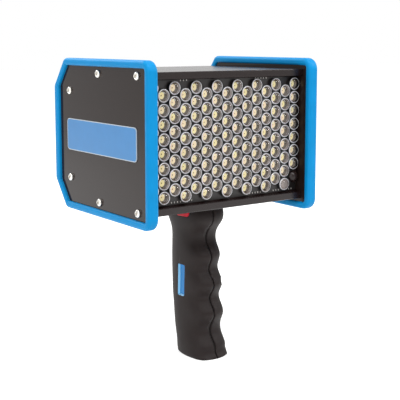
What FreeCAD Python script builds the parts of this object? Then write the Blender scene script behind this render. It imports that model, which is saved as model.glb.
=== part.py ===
import FreeCAD, Part
import math
import os

# Hand-held stroboscope lamp: a wide black metal head with a front array of
# clear-lensed white lamps, blue rubber bumper frames round both side plates,
# and a pistol handle with four finger grooves hanging under the head.
#
# Frame: origin on the handle's flat base, on the axis of the threaded bush.
# +Z is up, the lamps face -Y, and -X is the side that carries the label.
# Head pieces are drawn from the lamps: y from the plane of their rims, z from
# the middle of the head. on_head() then lifts them into the part's frame.

Vector = FreeCAD.Vector
X_AXIS = Vector(1, 0, 0)
Y_AXIS = Vector(0, 1, 0)
Z_AXIS = Vector(0, 0, 1)

# Driving sizes of the whole lamp, in millimetres
head_width = 149.8
head_height = 113.9
head_front = -13.0
head_rear = 122.0
rear_chamfer_depth = 16.6
rear_chamfer_height = 21.0
handle_length = 116.7
board_forward = 31.0
overrun = 5.0

# Lamp array: y = 0 is the plane of the lamps' rims, in front of their board
board_setback = 3.0
array_rise = 0.3
column_pitch = 9.0
row_pitch = 10.0
stagger_share = 0.25
lens_radius = 4.2
lens_height = 5.6
flange_radius = 4.6
lens_sides = 8
lens_shoulder_height_share = 0.66
lens_shoulder_radius_share = 0.84
lens_top_radius_share = 0.4

# Side plates and the rubber bumpers that grip them
plate_thickness = 4.4
plate_recess = 2.5
bumper_thickness = 8.4
bumper_front_lip = 5.4
bumper_top_lip = 5.4
bumper_rear_lip = 6.9
bumper_corner_lip = 5.4
plate_grip = 2.8
bumper_front_radius = 8.5
bumper_rear_radius = 5.0
bumper_edge_radius = 2.3
bumper_inner_edge = 0.7
plate_corner_radius = 4.0

# Side screws, set in from the bumper's opening and from its sloped corners
screw_radius = 1.5
screw_head_radius = 2.85
screw_head_height = 2.6
screw_length = 12.0
thread_clearance = 0.05
front_screw_inset = 11.45
middle_screw_offset = 4.6
rear_screw_inset = 15.9
long_screw_inset = 5.2
rear_screw_drop = 3.25

# Side label
label_front_inset = 18.0
label_rear_inset = 18.2
label_height = 23.6
label_thickness = 0.6
label_corner = 3.0

# Housing extrusion
housing_gap = 2.65
housing_front_gap = 4.1
housing_corner_gap = 2.85
housing_wall = 3.2
rail_height = 5.0
rail_depth = 9.5
port_radius = 3.4
board_thickness = 1.6
board_slot_depth = 0.9
board_slot_clearance = 0.1
rear_lip = 2.4
rear_ledge = 4.5
rear_ledge_thickness = 3.0
rear_end_strip = 5.0
wire_hole_radius = 3.5

# Boards inside the head
board_side_gap = 0.3
spacer_radius = 3.0
spacer_length = 12.0
spacer_inset = 12.0
driver_board_margin = 5.0
capacitor_radius = 5.0
capacitor_length = 20.0
capacitor_pitch = 13.0
capacitor_count = 6
coil_size = 14.0
coil_height = 9.0
control_board_gap = 7.0
control_board_margin = 3.0
control_post_radius = 2.5
control_post_gap = 3.5
control_post_inset = 3.5

# Rear panel and its controls
panel_thickness = 3.0
panel_edge_clearance = 0.15
window_side_margin = 31.85
window_top_margin = 3.2
window_thickness = 1.5
window_ledge = 2.0
window_corner = 2.0
key_count = 4
key_height = 8.0
key_gap = 3.5
key_window_gap = 10.5
key_bottom_margin = 10.7
key_proud = 1.4
key_flange = 1.2
key_flange_thickness = 1.2
key_clearance = 0.3
key_corner = 2.0
switch_gap = 0.9
knob_inset = 12.85
knob_z = 2.0
knob_radius = 11.0
knob_height = 8.0
knob_lift = 0.6
knob_ribs = 12
knob_rib_radius = 1.6
shaft_radius = 3.0
shaft_clearance = 0.05
shaft_engagement = 6.0
encoder_size = 12.0
encoder_bush_radius = 4.5
socket_inset = 11.85
socket_radius = 4.5
socket_flange_radius = 6.0
socket_flange_thickness = 1.0
socket_bore = 1.8
socket_depth = 12.0
socket_pitch_share = 0.56
socket_wall = 1.2
charge_bore = 2.75
charge_pin_radius = 0.65
charge_pin_setback = 2.5
panel_screw_radius = 1.25
panel_screw_head_radius = 2.4
panel_screw_head_height = 1.2
panel_screw_length = 5.5
panel_screw_inset = 4.5

# Handle, a pair of moulded halves that meet on the plane x = 0
grip_depth = 50.0
grip_width = 34.4
grip_wall = 2.5
base_wall = 3.5
base_edge = 1.2
seam_depth = 0.8
seam_half_width = 0.3
section_points = 12
rear_roundness_share = 0.816
front_roundness_share = 0.705
# Each row: height, front, widest line, rear and half width. Heights are shares
# of handle_length, the widths of half grip_width and the rest of grip_depth.
grip_station_shares = [
    (0.000, -0.400, 0.036, 0.385, 0.905),
    (0.075, -0.330, 0.044, 0.410, 0.911),
    (0.145, -0.215, 0.096, 0.440, 0.900),
    (0.215, -0.225, 0.124, 0.478, 0.889),
    (0.290, -0.313, 0.158, 0.503, 0.869),
    (0.381, -0.193, 0.184, 0.537, 0.855),
    (0.477, -0.303, 0.196, 0.562, 0.841),
    (0.566, -0.170, 0.200, 0.573, 0.832),
    (0.655, -0.238, 0.200, 0.576, 0.831),
    (0.735, -0.115, 0.200, 0.563, 0.836),
    (0.810, -0.125, 0.200, 0.558, 0.872),
    (0.875, -0.255, 0.200, 0.628, 0.947),
    (0.938, -0.270, 0.200, 0.665, 0.987),
    (1.000, -0.300, 0.200, 0.690, 1.000),
]

# Rows of the table that the plain inside runs through: foot, grooves, neck and top
cavity_stations = [0, 2, 3, 5, 7, 9, 10, 13]

# Handle fittings
bush_radius = 5.0
bush_length = 12.0
bush_bore_radius = 2.55
bush_bore_depth = 10.0
bush_collar_wall = 2.5
mount_plate_thickness = 2.0
mount_screw_radius = 1.5
mount_screw_head_radius = 2.5
mount_screw_head_height = 1.6
mount_screw_x = 4.6
mount_screw_front_y = -4.2
mount_screw_rear_y = 19.0
shell_screw_radius = 1.4
shell_screw_head_radius = 2.6
shell_screw_head_height = 1.8
shell_screw_seat = 6.0
shell_screw_reach = 7.0
shell_boss_radius = 3.0
# Shell screws as shares of grip_depth and handle_length
shell_screw_shares = [(-0.22, 0.055), (0.27, 0.062), (-0.20, 0.482), (0.55, 0.915)]
cell_radius = 5.25
cell_clearance = 0.2
cell_lower_y = 5.5
cell_upper_y = 10.5
cell_base_z = 13.0
cell_top_gap = 12.2
link_thickness = 0.5
link_width = 6.0
rib_thickness = 2.0
# Heights of the ribs that hold the cells, as shares of each cell's length
rib_height_shares = [0.12, 0.82]
inlay_y = 6.9
inlay_drop = 59.7
inlay_width = 7.8
inlay_height = 23.8
inlay_rim = 0.5
inlay_floor_x = 13.0
inlay_corner = 1.2
button_face_x = -17.2
button_y = 2.0
button_drop = 6.65
button_angle = 10.0
button_width = 14.0
button_height = 6.8
button_corner = 3.0
button_travel = 1.5
button_clearance = 0.3
button_flange = 0.7
button_flange_thickness = 1.0
button_depth = 6.7
button_crown = 0.6
trigger_switch_size = (5.0, 9.0, 5.0)
trigger_switch_offset = 4.0

# Head sizes worked out from the ones above
housing_height = head_height - 2 * (bumper_top_lip + housing_gap)
head_centre_z = handle_length + housing_height / 2
plate_outer_x = head_width / 2 - plate_recess
plate_inner_x = plate_outer_x - plate_thickness
bumper_inner_x = head_width / 2 - bumper_thickness
housing_front = head_front + bumper_front_lip + housing_front_gap
housing_rear = head_rear - bumper_rear_lip - housing_gap
slope_length = math.hypot(rear_chamfer_depth, rear_chamfer_height)
slope_normal_y = rear_chamfer_height / slope_length
slope_normal_z = rear_chamfer_depth / slope_length
slope_reach = slope_normal_y * head_rear + slope_normal_z * (head_height / 2 - rear_chamfer_height)
board_half_length = plate_inner_x - board_side_gap
board_half_height = housing_height / 2 - rail_height + board_slot_depth - board_slot_clearance

# Side screws and label, in the head's own y and z
front_screw_y = head_front + bumper_front_lip + front_screw_inset
rear_screw_y = head_rear - bumper_rear_lip - rear_screw_inset
middle_screw_y = (front_screw_y + rear_screw_y) / 2 + middle_screw_offset
long_screw_z = head_height / 2 - bumper_top_lip - long_screw_inset
rear_screw_z = head_height / 2 - rear_chamfer_height - rear_screw_drop
label_front_y = head_front + label_front_inset
label_length = head_rear - label_rear_inset - label_front_y

# As many lamps as the board shows between the side plates and the rails
led_columns = int(2 * (board_half_length - flange_radius) / column_pitch) + 1
led_rows = int((2 * (housing_height / 2 - rail_height - flange_radius) / row_pitch) + 1 - 2 * stagger_share)
clear_sensor_place = (led_columns - 2, led_rows - 1)
dark_sensor_place = (led_columns - 1, led_rows - 1)

# Layout of the rear panel, from its own width and height
panel_front = housing_rear - panel_thickness
panel_half_width = plate_inner_x - rear_end_strip - panel_edge_clearance
slope_room = slope_reach - bumper_corner_lip - housing_corner_gap - slope_normal_y * housing_rear
panel_half_height = slope_room / slope_normal_z - rear_lip
panel_screw_x = panel_half_width + panel_edge_clearance - panel_screw_inset
panel_screw_z = panel_half_height - rear_ledge / 2
knob_x = knob_inset - panel_half_width
socket_x = panel_half_width - socket_inset
socket_pitch = socket_pitch_share * panel_half_height
window_width = 2 * (panel_half_width - window_side_margin)
window_height = 2 * panel_half_height - window_top_margin - key_window_gap - key_height - key_bottom_margin
window_centre_z = panel_half_height - window_top_margin - window_height / 2
key_pitch = window_width / key_count
key_width = key_pitch - key_gap
key_row_z = key_bottom_margin + key_height / 2 - panel_half_height
control_board_y = panel_front - control_board_gap - board_thickness

# Cells, button and inlay, which follow the handle's length
cell_room = handle_length - mount_plate_thickness - cell_top_gap - cell_base_z
cell_length = (cell_room - link_thickness) / 2
cell_row_height = cell_length + link_thickness
button_z = handle_length - button_drop
inlay_z = handle_length - inlay_drop


def on_head(shape):
    """Move a piece from the head's own frame into the part's frame."""
    moved = shape.copy()
    moved.translate(Vector(0, -board_forward, head_centre_z))
    return moved


def export(name, shape):
    """Write one named piece, and print its size for a quick look."""
    box = shape.BoundBox
    print(name, "solids", len(shape.Solids), "valid", shape.isValid(),
          "volume", round(shape.Volume), "x", round(box.XMin, 1), round(box.XMax, 1),
          "y", round(box.YMin, 1), round(box.YMax, 1), "z", round(box.ZMin, 1), round(box.ZMax, 1))
    shape.exportStep("parts/" + name + ".step")


def box_between(low, high):
    """Box from its lowest to its highest corner."""
    return Part.makeBox(high[0] - low[0], high[1] - low[1], high[2] - low[2], Vector(*low))


def rod_x(radius, x_low, x_high, y, z):
    """Cylinder along X."""
    return Part.makeCylinder(radius, x_high - x_low, Vector(x_low, y, z), X_AXIS)


def rod_y(radius, y_low, y_high, x, z):
    """Cylinder along Y."""
    return Part.makeCylinder(radius, y_high - y_low, Vector(x, y_low, z), Y_AXIS)


def rod_z(radius, z_low, z_high, x, y):
    """Cylinder along Z."""
    return Part.makeCylinder(radius, z_high - z_low, Vector(x, y, z_low), Z_AXIS)


def rounded_wire(points, radii):
    """Closed outline through corner points, each rounded with its own radius."""
    count = len(points)
    starts = []
    middles = []
    ends = []
    for index in range(count):
        corner = points[index]
        to_last = (points[index - 1] - corner).normalize()
        to_next = (points[(index + 1) % count] - corner).normalize()
        half_angle = to_last.getAngle(to_next) / 2
        radius = radii[index]
        setback = radius / math.tan(half_angle)
        middle_reach = radius / math.sin(half_angle) - radius
        starts.append(corner + to_last * setback)
        middles.append(corner + (to_last + to_next).normalize() * middle_reach)
        ends.append(corner + to_next * setback)
    edges = []
    for index in range(count):
        if radii[index] > 0:
            edges.append(Part.Arc(starts[index], middles[index], ends[index]).toShape())
        following = starts[(index + 1) % count]
        if (following - ends[index]).Length > 1e-6:
            edges.append(Part.LineSegment(ends[index], following).toShape())
    return Part.Wire(edges)


def prism(points, radii, along):
    """Straight prism on a rounded outline."""
    return Part.Face(rounded_wire(points, radii)).extrude(along)


def rounded_block_y(width, height, corner, y_low, y_high, x, z):
    """Block with four rounded corners, lying along Y."""
    points = [Vector(x - width / 2, y_low, z - height / 2), Vector(x + width / 2, y_low, z - height / 2),
              Vector(x + width / 2, y_low, z + height / 2), Vector(x - width / 2, y_low, z + height / 2)]
    return prism(points, [corner] * 4, Vector(0, y_high - y_low, 0))


def rounded_block_x(width, height, corner, x_low, x_high, y, z):
    """Block with four rounded corners, lying along X."""
    points = [Vector(x_low, y - width / 2, z - height / 2), Vector(x_low, y + width / 2, z - height / 2),
              Vector(x_low, y + width / 2, z + height / 2), Vector(x_low, y - width / 2, z + height / 2)]
    return prism(points, [corner] * 4, Vector(x_high - x_low, 0, 0))


def head_points(x, front, top, rear, corner):
    """Side outline of the head, drawn in by the given amount on each side."""
    reach = slope_reach - corner
    y_front = head_front + front
    y_rear = head_rear - rear
    z_top = head_height / 2 - top
    z_low_corner = (reach - slope_normal_y * y_rear) / slope_normal_z
    y_high_corner = (reach - slope_normal_z * z_top) / slope_normal_y
    return [Vector(x, y_front, -z_top), Vector(x, y_high_corner, -z_top), Vector(x, y_rear, -z_low_corner),
            Vector(x, y_rear, z_low_corner), Vector(x, y_high_corner, z_top), Vector(x, y_front, z_top)]


def side_screw_places():
    """The six screws of a side plate, in the head's y and z."""
    places = []
    for side in (-1, 1):
        places.append((front_screw_y, side * long_screw_z))
        places.append((middle_screw_y, side * long_screw_z))
        places.append((rear_screw_y, side * rear_screw_z))
    return places


def corner_places(width, height):
    """Four corners of a centred rectangle."""
    return [(x, z) for x in (-width / 2, width / 2) for z in (-height / 2, height / 2)]


def led_places():
    """Centre and grid place of each lamp: columns are staggered by half a row."""
    places = []
    for column in range(led_columns):
        stagger = stagger_share if column % 2 == 0 else -stagger_share
        for row in range(led_rows):
            x = (column - (led_columns - 1) / 2) * column_pitch
            z = ((led_rows - 1) / 2 - row + stagger) * row_pitch + array_rise
            places.append((column, row, x, z))
    return places


# Head: housing, side plates, bumpers and their fasteners
def housing_outline(x, inset):
    """Housing outline, drawn in by a wall where one is asked for."""
    return head_points(x, bumper_front_lip + housing_front_gap + inset, bumper_top_lip + housing_gap + inset,
                       bumper_rear_lip + housing_gap + inset, bumper_corner_lip + housing_corner_gap + inset)


def housing_extrusion():
    length = 2 * plate_inner_x
    along = Vector(length, 0, 0)
    left = -plate_inner_x
    half = housing_height / 2
    outer = prism(housing_outline(left, 0), [housing_wall / 4] * 6, along)
    inner = prism(housing_outline(left, housing_wall), [housing_wall / 4] * 6, along)
    rails = []
    for side in (-1, 1):
        z_inner = side * (half - rail_height)
        z_outer = side * (half - housing_wall / 2)
        rails.append(box_between((left, housing_front, min(z_inner, z_outer)),
                                 (-left, housing_front + rail_depth, max(z_inner, z_outer))))
    ports = []
    bores = []
    for y, z in side_screw_places():
        ports.append(rod_x(port_radius, left, -left, y, z).common(outer))
        bores.append(rod_x(screw_radius + thread_clearance, left, left + screw_length, y, z))
        bores.append(rod_x(screw_radius + thread_clearance, -left - screw_length, -left, y, z))
    ledges = []
    webs = []
    for side in (-1, 1):
        z_inner = side * (panel_half_height - rear_ledge)
        z_outer = side * (panel_half_height + rear_lip)
        low = (left, panel_front - rear_ledge_thickness, min(z_inner, z_outer))
        high = (-left, panel_front, max(z_inner, z_outer))
        ledges.append(box_between(low, high).common(outer))
        y_web = rear_screw_y + port_radius / 2
        z_low = side * rear_screw_z
        z_high = side * (rear_screw_z + 3 * port_radius)
        webs.append(box_between((left, y_web - port_radius / 2, min(z_low, z_high)),
                                (-left, y_web + port_radius, max(z_low, z_high))).common(outer))
    mouth = box_between((left - overrun, housing_front - overrun, -half + housing_wall),
                        (-left + overrun, housing_front + housing_wall + overrun, half - housing_wall))
    solid = outer.cut(inner).cut(mouth)
    solid = solid.fuse(rails + ports + ledges + webs)
    opening_half = plate_inner_x - rear_end_strip
    mouth_half = panel_half_height + panel_edge_clearance
    throat_half = panel_half_height - rear_ledge
    rear_mouth = box_between((-opening_half, panel_front, -mouth_half),
                             (opening_half, housing_rear + overrun, mouth_half))
    throat = box_between((-opening_half, panel_front - housing_wall - overrun, -throat_half),
                         (opening_half, panel_front + overrun, throat_half))
    slot_half = board_half_height + board_slot_clearance
    slot = box_between((left - overrun, board_setback - board_slot_clearance, -slot_half),
                       (-left + overrun, board_setback + board_thickness + board_slot_clearance, slot_half))
    wire_hole = rod_z(wire_hole_radius, -half - overrun, -half + housing_wall + overrun, 0, board_forward)
    cuts = [rear_mouth, throat, slot, wire_hole] + bores
    for x, y in mount_screw_places():
        cuts.append(rod_z(mount_screw_radius + thread_clearance, -half - overrun, -half + rail_height + overrun,
                          x, y + board_forward))
    for x, z in corner_places(2 * panel_screw_x, 2 * panel_screw_z):
        cuts.append(rod_y(panel_screw_radius + thread_clearance, panel_front - rear_ledge_thickness - overrun,
                          panel_front + overrun, x, z))
    return solid.cut(cuts).removeSplitter()


def plate_outline(x):
    return head_points(x, bumper_front_lip - plate_grip, bumper_top_lip - plate_grip,
                       bumper_rear_lip - plate_grip, bumper_corner_lip - plate_grip)


def side_plate(side):
    x_low = min(side * plate_inner_x, side * plate_outer_x)
    radii = [plate_corner_radius] * 6
    plate = prism(plate_outline(x_low), radii, Vector(plate_thickness, 0, 0))
    holes = []
    for y, z in side_screw_places():
        holes.append(rod_x(screw_radius + 2 * thread_clearance, x_low - overrun,
                           x_low + plate_thickness + overrun, y, z))
    return plate.cut(holes)


def bumper(side):
    """Rubber frame with a groove that grips the plate's edge all round."""
    x_low = min(side * bumper_inner_x, side * head_width / 2)
    along = Vector(bumper_thickness, 0, 0)
    outer_radii = [bumper_front_radius, bumper_rear_radius, bumper_rear_radius,
                   bumper_rear_radius, bumper_rear_radius, bumper_front_radius]
    outer = prism(head_points(x_low, 0, 0, 0, 0), outer_radii, along)
    outer = outer.makeFillet(bumper_edge_radius, face_edges(outer, x_low) + face_edges(outer, x_low + bumper_thickness))
    lips = (bumper_front_lip, bumper_top_lip, bumper_rear_lip, bumper_corner_lip)
    hole_radii = [plate_corner_radius / 2] * 6
    hole = prism(head_points(x_low - overrun, *lips), hole_radii, along + Vector(2 * overrun, 0, 0))
    frame = outer.cut(hole)
    rims = []
    for edge in frame.Edges:
        box = edge.BoundBox
        on_face = box.XLength < 1e-6 and min(abs(box.XMin - x_low), abs(box.XMin - x_low - bumper_thickness)) < 1e-6
        if on_face and inside_outline(edge, lips):
            rims.append(edge)
    frame = frame.makeChamfer(bumper_inner_edge, rims)
    plate_low = min(side * plate_inner_x, side * plate_outer_x)
    groove = prism(plate_outline(plate_low), [plate_corner_radius] * 6, Vector(plate_thickness, 0, 0))
    return frame.cut(groove)


def face_edges(solid, x):
    """Edges of a prism that lie on the plane at x."""
    return [edge for edge in solid.Edges if abs(edge.BoundBox.XMin - x) < 1e-6 and edge.BoundBox.XLength < 1e-6]


def inside_outline(edge, lips):
    """True for an edge on the bumper's inner opening."""
    front, top, rear, corner = lips
    middle = edge.valueAt((edge.FirstParameter + edge.LastParameter) / 2)
    depth_in = min(middle.y - head_front - front, head_rear - rear - middle.y,
                   head_height / 2 - top - abs(middle.z),
                   slope_reach - corner - slope_normal_y * middle.y - slope_normal_z * abs(middle.z))
    return depth_in > -1e-3


def side_screws(side):
    screws = []
    for y, z in side_screw_places():
        seat = side * plate_outer_x
        head_end = side * (plate_outer_x + screw_head_height)
        shank_end = side * (plate_outer_x - screw_length)
        head = rod_x(screw_head_radius, min(seat, head_end), max(seat, head_end), y, z)
        shank = rod_x(screw_radius, min(seat, shank_end), max(seat, shank_end), y, z)
        screws.append(head.fuse(shank))
    return Part.makeCompound(screws)


def side_label():
    x_low = -plate_outer_x - label_thickness
    return rounded_block_x(label_length, label_height, label_corner, x_low, -plate_outer_x,
                           label_front_y + label_length / 2, 0)


# Lamp board and lenses
def led_board():
    return box_between((-board_half_length, board_setback, -board_half_height),
                       (board_half_length, board_setback + board_thickness, board_half_height))


def polygon_ring(radius, y, x, z):
    """Regular outline across the lamp's axis, for a low-faceted lens."""
    points = []
    for side in range(lens_sides + 1):
        angle = 2 * math.pi * (side + 0.5) / lens_sides
        points.append(Vector(x + radius * math.cos(angle), y, z + radius * math.sin(angle)))
    return points


def lamp_lens(x, z):
    """One lamp: a flange that stands on the board, and the dome in front of it."""
    shoulder_y = board_setback - lens_height * lens_shoulder_height_share
    rings = [polygon_ring(flange_radius, board_setback, x, z),
             polygon_ring(flange_radius, 0, x, z),
             polygon_ring(lens_radius * lens_shoulder_radius_share, shoulder_y, x, z),
             polygon_ring(lens_radius * lens_top_radius_share, board_setback - lens_height, x, z)]
    faces = [flat_face(rings[0]), flat_face(rings[-1])]
    for lower, upper in zip(rings, rings[1:]):
        for side in range(lens_sides):
            corners = [lower[side], lower[side + 1], upper[side + 1], upper[side], lower[side]]
            faces.append(flat_face(corners))
    return Part.Solid(Part.Shell(faces))


def flat_face(corners):
    return Part.Face(Part.makePolygon(corners))


def led_lenses():
    lenses = []
    for column, row, x, z in led_places():
        if (column, row) not in (clear_sensor_place, dark_sensor_place):
            lenses.append(lamp_lens(x, z))
    return Part.makeCompound(lenses)


def sensor_lens(place):
    for column, row, x, z in led_places():
        if (column, row) == place:
            lens_x, lens_z = x, z
    y_top = board_setback - lens_height
    flange = rod_y(flange_radius, 0, board_setback, lens_x, lens_z)
    dome = Part.makeSphere(lens_radius, Vector(lens_x, y_top + lens_radius, lens_z))
    return flange.fuse(dome.common(rod_y(lens_radius, y_top - overrun, 0, lens_x, lens_z)))


# Boards and what they carry inside the head
def board_spacers():
    places = corner_places(2 * (plate_inner_x - spacer_inset), housing_height - 2 * spacer_inset)
    y_low = board_setback + board_thickness
    rods = [rod_y(spacer_radius, y_low, y_low + spacer_length, x, z) for x, z in places]
    return Part.makeCompound(rods)


def driver_board():
    half_x = plate_inner_x - driver_board_margin
    half_z = housing_height / 2 - rail_height - driver_board_margin
    y_low = board_setback + board_thickness + spacer_length
    return box_between((-half_x, y_low, -half_z), (half_x, y_low + board_thickness, half_z))


def driver_face():
    """The driver board's rear face, which carries its components."""
    return board_setback + spacer_length + 2 * board_thickness


def driver_capacitors():
    y_low = driver_face()
    cans = []
    for index in range(capacitor_count):
        x = (index - (capacitor_count - 1) / 2) * capacitor_pitch
        cans.append(rod_y(capacitor_radius, y_low, y_low + capacitor_length, x, capacitor_pitch))
    return Part.makeCompound(cans)


def driver_coils():
    y_low = driver_face()
    coils = []
    for side in (-1, 1):
        x = side * 2 * capacitor_pitch
        coils.append(rounded_block_y(coil_size, coil_size, coil_size / 5, y_low, y_low + coil_height,
                                     x, -capacitor_pitch))
    return Part.makeCompound(coils)


def control_board():
    half_x = plate_inner_x - control_board_margin
    half_z = panel_half_height - rear_ledge - board_side_gap
    board = box_between((-half_x, control_board_y, -half_z),
                        (half_x, control_board_y + board_thickness, half_z))
    holes = []
    for z in socket_heights():
        holes.append(rod_y(socket_radius + key_clearance, control_board_y - overrun,
                           control_board_y + board_thickness + overrun, socket_x, z))
    return board.cut(holes)


def control_posts():
    half_x = window_width / 2 + control_post_gap + control_post_radius
    half_z = panel_half_height - rear_ledge - control_post_inset
    y_low = control_board_y + board_thickness
    posts = [rod_y(control_post_radius, y_low, panel_front, x, z) for x, z in corner_places(2 * half_x, 2 * half_z)]
    return Part.makeCompound(posts)


# Rear panel, display, keys, knob and sockets
def key_places():
    return [((index - (key_count - 1) / 2) * key_pitch, key_row_z) for index in range(key_count)]


def socket_heights():
    return [(index - 1) * socket_pitch for index in range(3)]


def rear_panel():
    panel = box_between((-panel_half_width, panel_front, -panel_half_height),
                        (panel_half_width, housing_rear, panel_half_height))
    through_low = panel_front - overrun
    through_high = housing_rear + overrun
    cuts = [rounded_block_y(window_width, window_height, window_corner, housing_rear - window_thickness,
                            through_high, 0, window_centre_z),
            rounded_block_y(window_width - 2 * window_ledge, window_height - 2 * window_ledge, window_corner,
                            through_low, through_high, 0, window_centre_z),
            rod_y(encoder_bush_radius + key_clearance, through_low, through_high, knob_x, knob_z)]
    for x, z in key_places():
        cuts.append(rounded_block_y(key_width + 2 * key_clearance, key_height + 2 * key_clearance,
                                    key_corner + key_clearance, through_low, through_high, x, z))
    for z in socket_heights():
        cuts.append(rod_y(socket_radius, through_low, through_high, socket_x, z))
    for x, z in corner_places(2 * panel_screw_x, 2 * panel_screw_z):
        cuts.append(rod_y(panel_screw_radius + 2 * thread_clearance, through_low, through_high, x, z))
    return panel.cut(cuts)


def rear_panel_screws():
    screws = []
    for x, z in corner_places(2 * panel_screw_x, 2 * panel_screw_z):
        head = rod_y(panel_screw_head_radius, housing_rear, housing_rear + panel_screw_head_height, x, z)
        shank = rod_y(panel_screw_radius, housing_rear - panel_screw_length, housing_rear, x, z)
        screws.append(head.fuse(shank))
    return Part.makeCompound(screws)


def display_window():
    return rounded_block_y(window_width, window_height, window_corner, housing_rear - window_thickness,
                           housing_rear, 0, window_centre_z)


def display_module():
    y_low = control_board_y + board_thickness
    frame = rounded_block_y(window_width - 2 * window_ledge - key_clearance,
                            window_height - 2 * window_ledge - key_clearance, window_corner / 2,
                            y_low, housing_rear - window_thickness, 0, window_centre_z)
    return frame


def panel_key(place):
    """Rubber-topped key with a flange that keeps it behind the panel."""
    x, z = place
    cap = rounded_block_y(key_width, key_height, key_corner, panel_front - key_clearance,
                          housing_rear + key_proud, x, z)
    top_edges = [edge for edge in cap.Edges
                 if edge.BoundBox.YMin > housing_rear + key_proud - 1e-6]
    cap = cap.makeChamfer(key_proud / 2, top_edges)
    flange = rounded_block_y(key_width + 2 * key_flange, key_height + 2 * key_flange, key_corner,
                             panel_front - key_clearance - key_flange_thickness,
                             panel_front - key_clearance, x, z)
    return cap.fuse(flange)


def key_switches():
    y_low = control_board_y + board_thickness
    y_high = panel_front - key_clearance - key_flange_thickness - switch_gap
    blocks = []
    for x, z in key_places():
        half = key_height / 2
        blocks.append(box_between((x - half, y_low, z - half), (x + half, y_high, z + half)))
    return Part.makeCompound(blocks)


def encoder_body():
    y_low = control_board_y + board_thickness
    half = encoder_size / 2
    body = box_between((knob_x - half, y_low, knob_z - half), (knob_x + half, panel_front, knob_z + half))
    bush = rod_y(encoder_bush_radius, panel_front, housing_rear, knob_x, knob_z)
    bore = rod_y(shaft_radius + shaft_clearance, panel_front - shaft_clearance,
                 housing_rear + overrun, knob_x, knob_z)
    return body.fuse(bush).cut(bore)


def encoder_shaft():
    return rod_y(shaft_radius, panel_front, housing_rear + shaft_engagement, knob_x, knob_z)


def selector_knob():
    """Ribbed knob pressed on the encoder shaft."""
    y_low = housing_rear + knob_lift
    knob = rod_y(knob_radius, y_low, y_low + knob_height, knob_x, knob_z)
    top_edges = [edge for edge in knob.Edges if edge.BoundBox.YMin > y_low + knob_height - 1e-6]
    knob = knob.makeChamfer(knob_rib_radius / 2, top_edges)
    flutes = []
    for index in range(knob_ribs):
        angle = 2 * math.pi * index / knob_ribs
        flutes.append(rod_y(knob_rib_radius, y_low + knob_rib_radius, y_low + knob_height + overrun,
                            knob_x + (knob_radius + knob_rib_radius / 2) * math.cos(angle),
                            knob_z + (knob_radius + knob_rib_radius / 2) * math.sin(angle)))
    bore = rod_y(shaft_radius, y_low - overrun, housing_rear + shaft_engagement, knob_x, knob_z)
    return knob.cut(flutes + [bore])


def panel_socket(z, bore_radius, pin_radius):
    """Round panel socket, with a centre pin where the plug needs one."""
    y_open = housing_rear + socket_flange_thickness
    y_floor = y_open - socket_depth
    barrel = rod_y(socket_radius, y_floor - socket_wall, y_open, socket_x, z)
    flange = rod_y(socket_flange_radius, housing_rear, y_open, socket_x, z)
    bore = rod_y(bore_radius, y_floor, y_open + overrun, socket_x, z)
    socket = barrel.fuse(flange).cut(bore)
    if pin_radius:
        socket = socket.fuse(rod_y(pin_radius, y_floor, y_open - charge_pin_setback, socket_x, z))
    return socket


# Handle
def grip_section(inset, z, front, waist, rear, width):
    """One closed handle section: a smooth curve, blunter at the rear than at the front."""
    y_front = front * grip_depth + inset
    y_waist = waist * grip_depth
    y_rear = rear * grip_depth - inset
    half_width = width * grip_width / 2 - inset
    points = []
    for step in range(section_points):
        angle = 2 * math.pi * step / section_points
        at_front = math.cos(angle) > 0
        roundness = front_roundness_share if at_front else rear_roundness_share
        depth = y_waist - y_front if at_front else y_rear - y_waist
        points.append(Vector(-half_width * blunted(math.sin(angle), roundness),
                             y_waist - depth * blunted(math.cos(angle), roundness), z))
    skin = Part.BSplineCurve()
    parameters = [step / section_points for step in range(section_points + 1)]
    skin.interpolate(Points=points, Parameters=parameters, PeriodicFlag=True)
    return Part.Wire([skin.toShape()])


def blunted(value, roundness):
    """Sine or cosine of a superellipse."""
    return math.copysign(abs(value) ** roundness, value) if abs(value) > 1e-9 else 0


def grip_form(inset):
    """The handle's solid form, drawn in by inset, on a bevelled foot."""
    sections = []
    for height, front, waist, rear, width in grip_station_shares:
        z = max(height * handle_length, base_edge)
        sections.append(grip_section(inset, z, front, waist, rear, width))
    body = Part.makeLoft(sections, True, False)
    base_shares = grip_station_shares[0][1:]
    foot = Part.makeLoft([grip_section(inset + base_edge, 0, *base_shares),
                          grip_section(inset, base_edge, *base_shares)], True, True)
    return body.fuse(foot)


def cavity_outline(z, front, waist, rear, width):
    """Eight-cornered inside outline, one wall inside the skin."""
    y_front = front * grip_depth + grip_wall
    y_waist = waist * grip_depth
    y_rear = rear * grip_depth - grip_wall
    half_width = width * grip_width / 2 - grip_wall
    points = []
    for corner in range(9):
        angle = math.pi * corner / 4
        depth = y_waist - y_front if math.cos(angle) > 0 else y_rear - y_waist
        points.append(Vector(-half_width * math.sin(angle), y_waist - depth * math.cos(angle), z))
    return Part.makePolygon(points)


def grip_cavity(z_low, z_high):
    """Plain inside of the handle between two heights, straight from groove to groove."""
    outlines = [cavity_outline(grip_station_shares[index][0] * handle_length, *grip_station_shares[index][1:])
                for index in cavity_stations]
    inside = Part.makeLoft(outlines, True, True)
    return inside.common(box_between((-grip_width, -grip_depth, z_low), (grip_width, grip_depth, z_high)))


def left_half(shape):
    """The part of a handle shape on the left of the parting plane."""
    return shape.common(box_between((-grip_width, -grip_depth, -overrun),
                                    (0, grip_depth, handle_length + overrun)))


def cell_places():
    """Axis x, y and the bottom of each of the four cells."""
    places = []
    for row, middle in enumerate((cell_lower_y, cell_upper_y)):
        for side in (-1, 1):
            y = middle + side * (cell_radius + cell_clearance / 2)
            places.append((0, y, cell_base_z + row * cell_row_height))
    return places


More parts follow.
